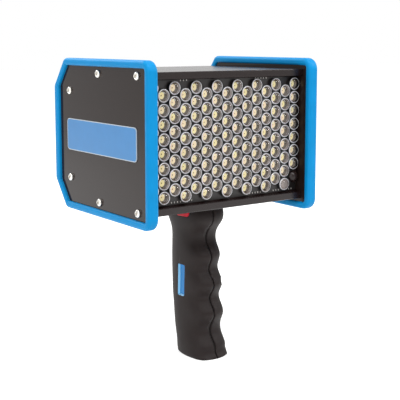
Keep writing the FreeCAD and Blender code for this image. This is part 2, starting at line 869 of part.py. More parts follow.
def battery_cells():
    cells = [rod_z(cell_radius, z, z + cell_length, x, y) for x, y, z in cell_places()]
    return Part.makeCompound(cells)


def cell_links():
    """Nickel strips that join the cells end to end."""
    links = []
    for row in range(3):
        z = cell_base_z + row * cell_row_height - link_thickness
        middle = (cell_lower_y, (cell_lower_y + cell_upper_y) / 2, cell_upper_y)[row]
        links.append(box_between((-link_width / 2, middle - 1.5 * cell_radius, z),
                                 (link_width / 2, middle + 1.5 * cell_radius, z + link_thickness)))
    return Part.makeCompound(links)


def shell_screw_places():
    return [(y * grip_depth, z * handle_length) for y, z in shell_screw_shares]


def mount_screw_places():
    return [(x, y) for x in (-mount_screw_x, mount_screw_x) for y in (mount_screw_front_y, mount_screw_rear_y)]


def button_block(grow, depth_low, depth_high):
    """The trigger button's rounded outline between two depths below its outer face."""
    block = rounded_block_x(button_width + 2 * grow, button_height + 2 * grow, button_corner + grow,
                            depth_low, depth_high, 0, 0)
    return on_button(block)


def on_button(shape):
    """Turn a piece drawn behind the button's face, along +X, onto the handle."""
    moved = shape.copy()
    moved.rotate(Vector(0, 0, 0), Z_AXIS, button_angle)
    moved.translate(Vector(button_face_x, button_y, button_z))
    return moved


def inlay_block(grow, x_low, x_high):
    """The coloured inlay's rounded outline along X."""
    return rounded_block_x(inlay_width + 2 * grow, inlay_height + 2 * grow, inlay_corner,
                           x_low, x_high, inlay_y, inlay_z)


def shell_blank():
    """One moulded half before its own cut-outs, on the left of the parting plane."""
    outer = left_half(grip_form(0))
    skin = outer.cut(grip_cavity(base_wall, handle_length + overrun))
    cells = [rod_z(cell_radius + cell_clearance, z - link_thickness, z + cell_length, x, y)
             for x, y, z in cell_places()]
    ribs = []
    for row in range(2):
        for share in rib_height_shares:
            z = cell_base_z + row * cell_row_height + share * cell_length
            ribs.append(left_half(grip_cavity(z, z + rib_thickness)).cut(cells))
    bosses = []
    for y, z in shell_screw_places():
        bosses.append(rod_x(shell_boss_radius, -grip_width, 0, y, z).common(outer))
    collar = left_half(rod_z(bush_radius + bush_collar_wall, 0, bush_length, 0, 0))
    blank = skin.fuse(ribs + bosses + [collar])
    seam_box = box_between((-seam_half_width, -grip_depth, -overrun), (0, grip_depth, handle_length))
    seam = seam_box.common(outer).cut(grip_form(seam_depth))
    return blank.cut([rod_z(bush_radius, -overrun, bush_length, 0, 0), seam] + cells)


def handle_shell_left(blank):
    bores = [rod_x(shell_screw_radius + thread_clearance, -shell_screw_reach, overrun, y, z)
             for y, z in shell_screw_places()]
    window = inlay_block(0, -grip_width, -grip_width / 4)
    opening = button_block(button_clearance, -overrun, button_depth)
    pocket = button_block(button_flange + button_clearance, button_depth - button_flange_thickness,
                          button_depth + button_travel + button_clearance)
    return blank.cut(bores + [window, opening, pocket])


def handle_shell_right(blank):
    shell = blank.mirror(Vector(0, 0, 0), X_AXIS)
    cuts = []
    for y, z in shell_screw_places():
        cuts.append(rod_x(shell_screw_radius + 2 * thread_clearance, -overrun, shell_screw_seat + overrun, y, z))
        cuts.append(rod_x(shell_screw_head_radius + 4 * thread_clearance, shell_screw_seat, grip_width, y, z))
    return shell.cut(cuts)


def handle_shell_screws():
    screws = []
    for y, z in shell_screw_places():
        head = rod_x(shell_screw_head_radius, shell_screw_seat, shell_screw_seat + shell_screw_head_height, y, z)
        shank = rod_x(shell_screw_radius, -shell_screw_reach, shell_screw_seat, y, z)
        screws.append(head.fuse(shank))
    return Part.makeCompound(screws)


def handle_inlay():
    """Dished blue insert that fills the window in the left half."""
    block = inlay_block(0, -grip_width, 0).common(grip_form(0))
    block = block.cut(grip_cavity(base_wall, handle_length))
    return block.cut(inlay_block(-inlay_rim, -grip_width, -inlay_floor_x))


def handle_mount_plate():
    plate = grip_cavity(handle_length - mount_plate_thickness, handle_length)
    low = handle_length - mount_plate_thickness - overrun
    cuts = [rod_z(wire_hole_radius, low, handle_length + overrun, 0, 0)]
    for x, y in mount_screw_places():
        cuts.append(rod_z(mount_screw_radius + 2 * thread_clearance, low, handle_length + overrun, x, y))
    return plate.cut(cuts)


def handle_mount_screws():
    seat = handle_length - mount_plate_thickness
    screws = []
    for x, y in mount_screw_places():
        head = rod_z(mount_screw_head_radius, seat - mount_screw_head_height, seat, x, y)
        shank = rod_z(mount_screw_radius, seat, handle_length + housing_wall, x, y)
        screws.append(head.fuse(shank))
    return Part.makeCompound(screws)


def tripod_bush():
    bush = rod_z(bush_radius, 0, bush_length, 0, 0)
    return bush.cut(rod_z(bush_bore_radius, -overrun, bush_bore_depth, 0, 0))


def trigger_button():
    """Red button with a bevelled rim, and a flange that keeps it behind the shell wall."""
    cap = button_block(0, 0, button_depth)
    outer_rim = [edge for edge in cap.Edges if edge.distToShape(button_block(0, -overrun, 0))[0] < 1e-6]
    cap = cap.makeChamfer(button_crown, [edge for edge in outer_rim if on_button_face(edge)])
    flange = button_block(button_flange, button_depth - button_flange_thickness, button_depth)
    return cap.fuse(flange)


def on_button_face(edge):
    """True for an edge that lies in the button's outer face."""
    inward = Vector(math.cos(math.radians(button_angle)), math.sin(math.radians(button_angle)), 0)
    origin = Vector(button_face_x, button_y, button_z)
    ends = [(vertex.Point - origin).dot(inward) for vertex in edge.Vertexes]
    return max(abs(depth) for depth in ends) < 1e-6


def trigger_switch():
    size_x, size_y, size_z = trigger_switch_size
    low = button_depth + button_travel + button_clearance
    z_high = handle_length - mount_plate_thickness - button_z
    y_low = trigger_switch_offset - size_y / 2
    return on_button(box_between((low, y_low, z_high - size_z), (low + size_x, y_low + size_y, z_high)))


def main():
    os.makedirs("parts", exist_ok=True)
    export("housing_extrusion", on_head(housing_extrusion()))
    for side, name in ((-1, "left"), (1, "right")):
        export("side_plate_" + name, on_head(side_plate(side)))
        export("bumper_" + name, on_head(bumper(side)))
        export("side_screws_" + name, on_head(side_screws(side)))
    export("side_label", on_head(side_label()))
    export("led_board", on_head(led_board()))
    export("led_lenses", on_head(led_lenses()))
    export("light_sensor_clear", on_head(sensor_lens(clear_sensor_place)))
    export("light_sensor_dark", on_head(sensor_lens(dark_sensor_place)))
    export("board_spacers", on_head(board_spacers()))
    export("driver_board", on_head(driver_board()))
    export("driver_capacitors", on_head(driver_capacitors()))
    export("driver_coils", on_head(driver_coils()))
    export("control_board", on_head(control_board()))
    export("control_posts", on_head(control_posts()))
    export("key_switches", on_head(key_switches()))
    export("rear_panel", on_head(rear_panel()))
    export("rear_panel_screws", on_head(rear_panel_screws()))
    export("display_window", on_head(display_window()))
    export("display_module", on_head(display_module()))
    for place, name in zip(key_places(), ("power", "up", "down", "mode")):
        export("key_" + name, on_head(panel_key(place)))
    export("encoder_body", on_head(encoder_body()))
    export("encoder_shaft", on_head(encoder_shaft()))
    export("selector_knob", on_head(selector_knob()))
    heights = socket_heights()
    export("charge_socket", on_head(panel_socket(heights[0], charge_bore, charge_pin_radius)))
    export("sync_in_socket", on_head(panel_socket(heights[1], socket_bore, 0)))
    export("sync_out_socket", on_head(panel_socket(heights[2], socket_bore, 0)))
    blank = shell_blank()
    export("handle_shell_left", handle_shell_left(blank))
    export("handle_shell_right", handle_shell_right(blank))
    export("handle_shell_screws", handle_shell_screws())
    export("handle_inlay", handle_inlay())
    export("handle_mount_plate", handle_mount_plate())
    export("handle_mount_screws", handle_mount_screws())
    export("tripod_bush", tripod_bush())
    export("trigger_button", trigger_button())
    export("trigger_switch", trigger_switch())
    export("battery_cells", battery_cells())
    export("cell_links", cell_links())


main()
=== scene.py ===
import math

import bmesh
import bpy
from bpy.props import FloatProperty, FloatVectorProperty, IntProperty
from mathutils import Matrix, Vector
from mathutils.bvhtree import BVHTree


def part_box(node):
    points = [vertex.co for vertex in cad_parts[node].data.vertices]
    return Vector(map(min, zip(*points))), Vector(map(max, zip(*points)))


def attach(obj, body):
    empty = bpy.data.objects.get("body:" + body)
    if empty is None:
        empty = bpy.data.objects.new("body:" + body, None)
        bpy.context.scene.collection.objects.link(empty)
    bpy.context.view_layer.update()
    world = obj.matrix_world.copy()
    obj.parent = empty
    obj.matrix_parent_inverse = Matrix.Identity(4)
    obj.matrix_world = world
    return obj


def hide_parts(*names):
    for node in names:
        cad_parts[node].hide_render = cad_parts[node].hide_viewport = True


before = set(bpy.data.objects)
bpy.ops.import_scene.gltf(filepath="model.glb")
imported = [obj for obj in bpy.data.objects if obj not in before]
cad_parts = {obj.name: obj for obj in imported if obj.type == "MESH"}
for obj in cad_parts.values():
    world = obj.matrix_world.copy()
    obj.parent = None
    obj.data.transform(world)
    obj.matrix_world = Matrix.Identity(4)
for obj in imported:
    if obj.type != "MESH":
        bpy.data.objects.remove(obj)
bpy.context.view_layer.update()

bl_info = {
    "name": "Hand-held stroboscope lamp",
    "version": (1, 0, 0),
    "blender": (4, 5, 0),
    "location": "View3D > Sidebar > Lamp",
    "description": "Builds the looks of a hand-held stroboscope lamp around its packed frame",
    "category": "Object",
}

MM = 0.001
WELD = 1e-6
# In degrees: faces nearer than FLAT_ANGLE are one flat face. Edges past SMOOTH_ANGLE stay crisp, past
# SMALL_SMOOTH_ANGLE on small turned shapes, and those past RIM_ANGLE are rims that can be rounded
FLAT_ANGLE = 0.6
SMOOTH_ANGLE = 32
SMALL_SMOOTH_ANGLE = 50
RIM_ANGLE = 50
X_AXIS = Vector((1, 0, 0))
Y_AXIS = Vector((0, 1, 0))
CORNER_SEGMENTS = 8
SCREW_SIDES = 24
CUP_SIDES = 12
DOME_STEPS = 4

# Places of the two light sensors in the lamp grid, as column and row
CLEAR_SENSOR = (13, 7)
DARK_SENSOR = (14, 7)
# Rows of soldered pins on the board: first pin, how many, and height from the array's centre, in millimetres
PIN_ROWS = ((-46.4, 4, -41.8), (-29.4, 1, -41.7), (22.9, 5, -41.9), (45.5, 3, -41.9), (60.7, 2, -42.1),
            (-38.6, 3, 42.5), (27.5, 5, 42.4))
# Area lamps: name, place, width and height in metres, and power in watts. They point at LIT_POINT
SOFTBOXES = (("softbox_top", (-0.1, -0.15, 1.3), 0.8, 0.8, 8),
             ("softbox_back", (-0.3, 1.2, 0.95), 0.9, 0.5, 6),
             ("softbox_left", (-1.2, -0.5, 0.7), 0.9, 1.2, 6),
             ("softbox_front", (0.05, -0.75, 1.1), 0.5, 0.5, 5),
             ("spot_right", (0.87, -0.53, 0.82), 0.22, 0.22, 3))
LIT_POINT = Vector((0, 0.02, 0.14))
SENSOR_WIDTH = 36
# Finishes that are made, by the name that the pieces ask for
FINISH = {}


# Places read from the frame
def middle(node):
    low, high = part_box(node)
    return (low + high) / 2


BOARD_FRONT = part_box("led_board")[0].y
ARRAY_Z = middle("led_lenses").z
HEAD_Z = middle("led_board").z
HEAD_LOW, HEAD_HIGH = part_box("bumper_left")
PLATE_OUTER = -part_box("side_plate_left")[0].x


def linear(hex_colour):
    """Linear RGB of an sRGB hex colour."""
    channels = [int(hex_colour[start:start + 2], 16) / 255 for start in (1, 3, 5)]
    return [c / 12.92 if c <= 0.04045 else ((c + 0.055) / 1.055) ** 2.4 for c in channels]


def length(name, millimetres, description):
    """A length property, given in millimetres and kept in metres."""
    return FloatProperty(name=name, description=description, default=millimetres * MM,
                         precision=5, unit="LENGTH")


def colour(name, hex_colour, description):
    """A colour property, given in sRGB."""
    return FloatVectorProperty(name=name, description=description, subtype="COLOR", size=3,
                               min=0, max=1, default=linear(hex_colour))


class HeadSizes(bpy.types.PropertyGroup):
    """Bumpers, side screws and label."""
    slope_depth: length("Slope depth", 16.6, "How far the sloped rear corners reach forward")
    slope_height: length("Slope height", 21.0, "How far the sloped rear corners reach up and down")
    front_lip: length("Front lip", 5.4, "Width of the bumper in front of the plate")
    top_lip: length("Top lip", 5.4, "Width of the bumper over and under the plate")
    rear_lip: length("Rear lip", 6.9, "Width of the bumper behind the plate")
    corner_lip: length("Slope lip", 5.4, "Width of the bumper along the sloped corners")
    front_radius: length("Front corner radius", 8.5, "Outer radius of the bumper's front corners")
    rear_radius: length("Rear corner radius", 5.0, "Outer radius of the bumper's rear corners")
    inner_radius: length("Inner corner radius", 2.0, "Radius of the corners round the plate")
    rim: length("Outer rim radius", 2.4, "Rounding of the bumper's outer rims")
    inner_rim: length("Inner rim radius", 1.5, "Rounding of the rims round the plate")
    screw_radius: length("Screw head radius", 2.85, "Radius of a side screw's head")
    screw_height: length("Screw head height", 2.3, "Height of a side screw's head")
    socket_width: length("Screw socket", 2.0, "Width across the flats of the hexagon socket")
    socket_depth: length("Screw socket depth", 1.4, "Depth of the hexagon socket")
    label_edge: length("Label edge", 0.55, "Width of the label's pale printed edge")
    label_corner: length("Label corner", 3.0, "Radius of the label's corners")
    shank_radius: length("Screw shank radius", 1.5, "Radius of a side screw's shank")
    shank_length: length("Screw shank length", 12, "Length of a side screw's shank")
    plate_edge: length("Plate edge", 0.3, "Rounding of the side plates' edges")
    housing_edge: length("Housing edge", 0.25, "Rounding of the housing's edges")


class ArraySizes(bpy.types.PropertyGroup):
    """The lamp grid and one lamp."""
    columns: IntProperty(name="Columns", description="Columns of lamps", default=15, min=1)
    rows: IntProperty(name="Rows", description="Lamps in a column", default=8, min=1)
    column_pitch: length("Column pitch", 9.0, "Distance between columns")
    row_pitch: length("Row pitch", 10.0, "Distance between the lamps of a column")
    dome_radius: length("Dome radius", 3.95, "Radius of a clear dome at its foot")
    dome_height: length("Dome height", 2.6, "Height of a clear dome over its rim")
    flange_radius: length("Flange radius", 4.55, "Radius of the flange at a dome's foot")
    flange_height: length("Flange height", 3.0, "Height of the flange's rim over the board")
    # The rim's pale colour is a painted highlight on the flange's edge
    rim_width: length("Rim width", 0.48, "Width of the flange's pale rim")
    cup_radius: length("Cup radius", 2.15, "Radius of the lead frame's cup")
    cup_height: length("Cup height", 0.5, "Height of the cup's mouth over the board")
    chip_radius: length("Chip radius", 1.5, "Radius of the yellow phosphor dot")
    chip_height: length("Chip height", 0.12, "Height of the phosphor dot over the board")
    die_radius: length("Die radius", 0.33, "Radius of the darker die in the dot")
    # The bed carries a painted reflection of the surroundings seen through the dome
    bed_radius: length("Bed radius", 3.7, "Radius of the cloudy resin under a dome")
    sides: IntProperty(name="Sides", description="Sides of a dome", default=16, min=8)
    pad_width: length("Pad width", 0.65, "Width of a soldered pin's pad on the board")
    pad_height: length("Pad height", 1.3, "Height of a soldered pin's pad on the board")
    pad_pitch: length("Pad pitch", 2.54, "Distance between the pins of a row")
    pad_rise: length("Pad rise", 0.25, "Height of a pad's shoulder over the board")
    pad_top: length("Pad top", 0.4, "Height of a pad's middle over the board")
    stagger: FloatProperty(name="Stagger", default=0.25,
                           description="Share of the row pitch by which a column is moved up or down")
    flange_gap: length("Flange gap", 0.06, "How far the clear body stays inside its rim")
    rim_depth: length("Rim depth", 0.5, "How far the rim's outside reaches down the flange")
    rim_round: length("Rim rounding", 0.15, "Width of the rim's broken outer edge")
    rim_stand: length("Rim stand", 0.05, "Height of the rim over the flange")
    rim_lip: length("Rim lip", 0.1, "How far the rim's inside reaches down the flange")
    collar_drop: length("Collar drop", 0.6, "How far below the flange's rim the dark sleeve ends")
    collar_wall: length("Collar wall", 0.05, "Thickness of the dark sleeve round a lamp")
    cup_wall: length("Cup wall", 0.2, "Width of the cup's mouth")
    bed_base: length("Bed base", 0.02, "Height of the bed's underside over the board")
    bed_top: length("Bed top", 0.04, "Height of the bed's face over the board")
    cup_base: length("Cup base", 0.05, "Height of the cup's underside over the board")
    cup_floor: length("Cup floor", 0.06, "Height of the cup's floor over the board")
    chip_base: length("Chip base", 0.07, "Height of the phosphor dot's underside over the board")
    chip_crown: length("Chip crown", 0.05, "Rise of the phosphor dot's middle over its edge")
    die_height: length("Die height", 0.1, "Height of the die over the phosphor dot's edge")


class ControlSizes(bpy.types.PropertyGroup):
    """The rear panel and its controls."""
    edge: length("Moulded edge", 0.25, "Rounding of the keys' and the knob's edges")
    panel_edge: length("Panel edge", 0.2, "Rounding of the panel's and the window's edges")
    socket_edge: length("Socket edge", 0.15, "Rounding of the sockets' edges")
    screw_edge: length("Screw edge", 0.3, "Rounding of the panel screws' edges")


class HandleSizes(bpy.types.PropertyGroup):
    """The handle's insert, trigger and screws."""
    edge: length("Small edge", 0.3, "Rounding of the trigger's and the shell screws' edges")
    inlay_corner: length("Insert corner", 1.2, "Radius of the blue insert's corners")
    inlay_slope: length("Insert slope", 0.65, "Width of the slope round the insert's floor")
    inlay_shift: length("Insert shift", 0.25, "How far the floor lies forward and up in the frame")
    inlay_depth: length("Insert depth", 1.4, "Depth of the insert's floor below the handle's skin")
    inlay_back: length("Insert back", 1.5, "Depth of the insert's back below its floor")
    inlay_span: length("Insert span", 2.0, "Longest side of the insert that is kept whole")
    ray_run: length("Ray run", 10, "How far outside the insert a ray to the handle's skin starts")
    ray_side: length("Ray side", 0.3, "How far beside the insert a ray to the handle's skin runs")


class StageSettings(bpy.types.PropertyGroup):
    """Camera, lamps and floor."""
    camera_place: FloatVectorProperty(name="Camera place", description="Where the camera stands",
                                      subtype="TRANSLATION", unit="LENGTH", size=3,
                                      default=(-0.3937, -0.5443, 0.2355))
    camera_yaw: FloatProperty(name="Camera yaw", description="Turn of the view from +Y towards +X",
                              subtype="ANGLE", default=math.radians(35.75))
    camera_pitch: FloatProperty(name="Camera pitch", description="Turn of the view below the horizon",
                                subtype="ANGLE", default=math.radians(6.97))
    lens: FloatProperty(name="Lens", description="Focal length on a 36 mm sensor, in millimetres",
                        default=82.18)
    shift: FloatProperty(name="Shift", description="Rise of the lens, in widths of the picture",
                         default=-0.12)
    fill: FloatProperty(name="Fill", description="Strength of the light from all round", default=0.45)
    floor_glow: FloatProperty(name="Floor glow", description="White added to the floor as it is seen",
                              default=0.62)
    floor_size: length("Floor size", 12000, "Width of the floor")


class FinishColours(bpy.types.PropertyGroup):
    """Base colours of the finishes."""
    rubber: colour("Bumper rubber", "#0089c8", "Blue moulded rubber of the bumpers")
    plate: colour("Side plate", "#241a17", "Black stove enamel of the side plates")
    housing: colour("Housing", "#1c1211", "Black anodised housing")
    label: colour("Label", "#2a7cba", "Printed label film")
    label_edge: colour("Label edge", "#b9c4cd", "Pale edge of the label")
    board: colour("Board", "#1d1816", "Solder mask of the lamp board")
    marks: colour("Board marks", "#e4e0da", "Bright solder of the pins on the lamp board")
    epoxy: colour("Clear epoxy", "#ffffff", "Clear lamp body")
    epoxy_smoked: colour("Smoked epoxy", "#241a18", "Dark body of the infrared sensor")
    phosphor: colour("Phosphor", "#f2e3a6", "Yellow dot in a lamp")
    phosphor_warm: colour("Warm phosphor", "#f5e0bc", "Dot of the warmer lamps")
    die: colour("Die", "#7d5a28", "Amber spot in the dot in a lamp")
    # The cup's dark brown is painted shade round the phosphor dot
    cup: colour("Cup", "#54432f", "Stained cup round the dot in a lamp")
    # The flange's near-white colour is a painted highlight on the lamp's edge
    flange: colour("Lamp flange", "#fbf6ff", "Edge of the clear lamp body")
    # The lamp bed's grey-brown is a painted reflection of the surroundings seen through a dome
    bed: colour("Lamp bed", "#a89a93", "Cloudy resin round the cup in a lamp")
    handle: colour("Handle", "#1e1615", "Black glass-filled nylon of the handle")
    # The slope's paler blue is a painted highlight where light catches the insert's walls
    inlay_slope: colour("Inlay slope", "#7fc3ea", "Paler moulded slope round the insert's floor")
    inlay: colour("Inlay", "#007cc0", "Blue insert of the handle")
    trigger: colour("Trigger", "#c6142a", "Red trigger button")
    # The sleeves round the lamps are painted shade on the flanges
    abs: colour("Black ABS", "#242426", "Knob, switches and the sleeves round the lamps")
    steel: colour("Stainless steel", "#d8d5cf", "Screw heads")
    key: colour("Key", "#3a3c40", "Rubber panel keys")
    window: colour("Display window", "#1c2422", "Smoked window over the display")
    display: colour("Display", "#6f7f6a", "Face of the display")
    socket: colour("Socket", "#1a1a1b", "Black moulded sockets")
    brass: colour("Brass", "#c9a45c", "Threaded bush")
    zinc: colour("Zinc", "#b4b7ba", "Zinc plating")
    nickel: colour("Nickel", "#c8c4ba", "Nickel plating")
    ferrite: colour("Ferrite", "#2f2d2c", "Cores of the coils")
    green_board: colour("Green board", "#1f5a34", "Solder mask of the inner boards")
    sleeve: colour("Capacitor sleeve", "#23272e", "Shrink sleeve of the capacitors")
    cell: colour("Cell sleeve", "#3f7f52", "Shrink sleeve of the cells")
    floor: colour("Floor", "#f4f4f3", "Pale studio floor")


# Nodes and finishes
def add(tree, kind, settings=None, inputs=None):
    """Add one node, set it, and link or fill its sockets."""
    node = tree.nodes.new(kind)
    for key, value in (settings or {}).items():
        setattr(node, key, value)
    for socket, value in (inputs or {}).items():
        if isinstance(value, bpy.types.NodeSocket):
            tree.links.new(value, node.inputs[socket])
        else:
            node.inputs[socket].default_value = value
    return node


def per_metre(millimetres):
    """Texture scale at which one repeat is this long."""
    return 1 / (millimetres * MM)


def surface(name, base, roughness, sockets=None):
    """A new material with one principled shader, whose own sockets are set here."""
    made = bpy.data.materials.new(name)
    made.use_nodes = True
    tree = made.node_tree
    shader = tree.nodes["Principled BSDF"]
    shader.inputs["Base Color"].default_value = (*base, 1)
    shader.inputs["Roughness"].default_value = roughness
    for socket, value in (sockets or {}).items():
        shader.inputs[socket].default_value = value
    made.diffuse_color = (*base, 1)
    return made, tree, shader


def place_of(tree):
    return add(tree, "ShaderNodeTexCoord").outputs["Object"]


def noise(tree, grain_mm, detail=2.0):
    """Noise at a grain given in millimetres."""
    return add(tree, "ShaderNodeTexNoise", None, {"Vector": place_of(tree), "Scale": per_metre(grain_mm),
                                                  "Detail": detail}).outputs["Fac"]


def speckled(tree, shader, base, share, grain_mm):
    """Mottle the base colour by a share either way."""
    spread = 0.25
    ramp = add(tree, "ShaderNodeValToRGB", None, {"Fac": noise(tree, grain_mm)})
    for stop, side in zip(ramp.color_ramp.elements, (-1, 1)):
        stop.position = 0.5 + side * spread
        stop.color = (*[min(1, channel * (1 + side * share)) for channel in base], 1)
    tree.links.new(ramp.outputs["Color"], shader.inputs["Base Color"])


def varied_roughness(tree, shader, low, high, grain_mm):
    """Roughness that wanders between two values, as handling and moulding leave it."""
    span = add(tree, "ShaderNodeMapRange", None,
               {"Value": noise(tree, grain_mm, 3.0), "From Min": 0.3, "From Max": 0.7,
                "To Min": low, "To Max": high})
    tree.links.new(span.outputs["Result"], shader.inputs["Roughness"])


def bumped(tree, shader, height, depth_mm):
    """Lead a height into the shader's normal, with its depth in millimetres."""
    bump = add(tree, "ShaderNodeBump", None, {"Height": height, "Distance": depth_mm * MM, "Strength": 1.0})
    tree.links.new(bump.outputs["Normal"], shader.inputs["Normal"])


def grained(tree, shader, grain_mm, depth_mm, detail=2.0):
    """Fine all-over grain, such as spark-eroded moulds, powder paint or blasting leave."""
    bumped(tree, shader, noise(tree, grain_mm, detail), depth_mm)


def woven(tree, shader, colours):
    """Glass weave of a board, 2 mm a strand, as coarse as it needs to be to show."""
    weave = add(tree, "ShaderNodeTexWave", {"wave_type": "BANDS", "bands_direction": "DIAGONAL"},
                {"Vector": place_of(tree), "Scale": per_metre(2.0), "Distortion": 1.5})
    bumped(tree, shader, weave.outputs["Fac"], 0.01)


def traced(tree, shader, colours):
    """Copper traces, about 6 mm apart, that stand out under a board's mask."""
    traces = add(tree, "ShaderNodeTexVoronoi", {"feature": "F1", "distance": "MANHATTAN"},
                 {"Vector": place_of(tree), "Scale": per_metre(6.0)})
    bumped(tree, shader, traces.outputs["Distance"], 0.03)


def warm_batches_and_painted_glow(tree, shader, colours):
    """Phosphor that is warmer in some lamps, with a painted glow: a faint steady emission in the phosphor's
    colour.
    """
    shader.inputs["Emission Color"].default_value = (*colours.phosphor, 1)
    warmth = add(tree, "ShaderNodeMapRange", None,
                 {"Value": noise(tree, 13, 0.0), "From Min": 0.4, "From Max": 0.6})
    mixed = add(tree, "ShaderNodeMix", {"data_type": "RGBA"},
                {"Factor": warmth.outputs["Result"], "A": (*colours.phosphor, 1),
                 "B": (*colours.phosphor_warm, 1)})
    tree.links.new(mixed.outputs["Result"], shader.inputs["Base Color"])


def dotted(tree, shader, colours):
    """The display's dots, 0.6 mm apart, with slightly darker gaps."""
    dot = 0.6 * MM
    face = (*colours.display, 1)
    dots = add(tree, "ShaderNodeTexBrick", {"offset": 0.0},
               {"Vector": place_of(tree), "Color1": face, "Color2": face,
                "Mortar": (*[channel * 0.82 for channel in colours.display], 1), "Scale": 1.0,
                "Mortar Size": dot / 10, "Brick Width": dot, "Row Height": dot})
    tree.links.new(dots.outputs["Color"], shader.inputs["Base Color"])


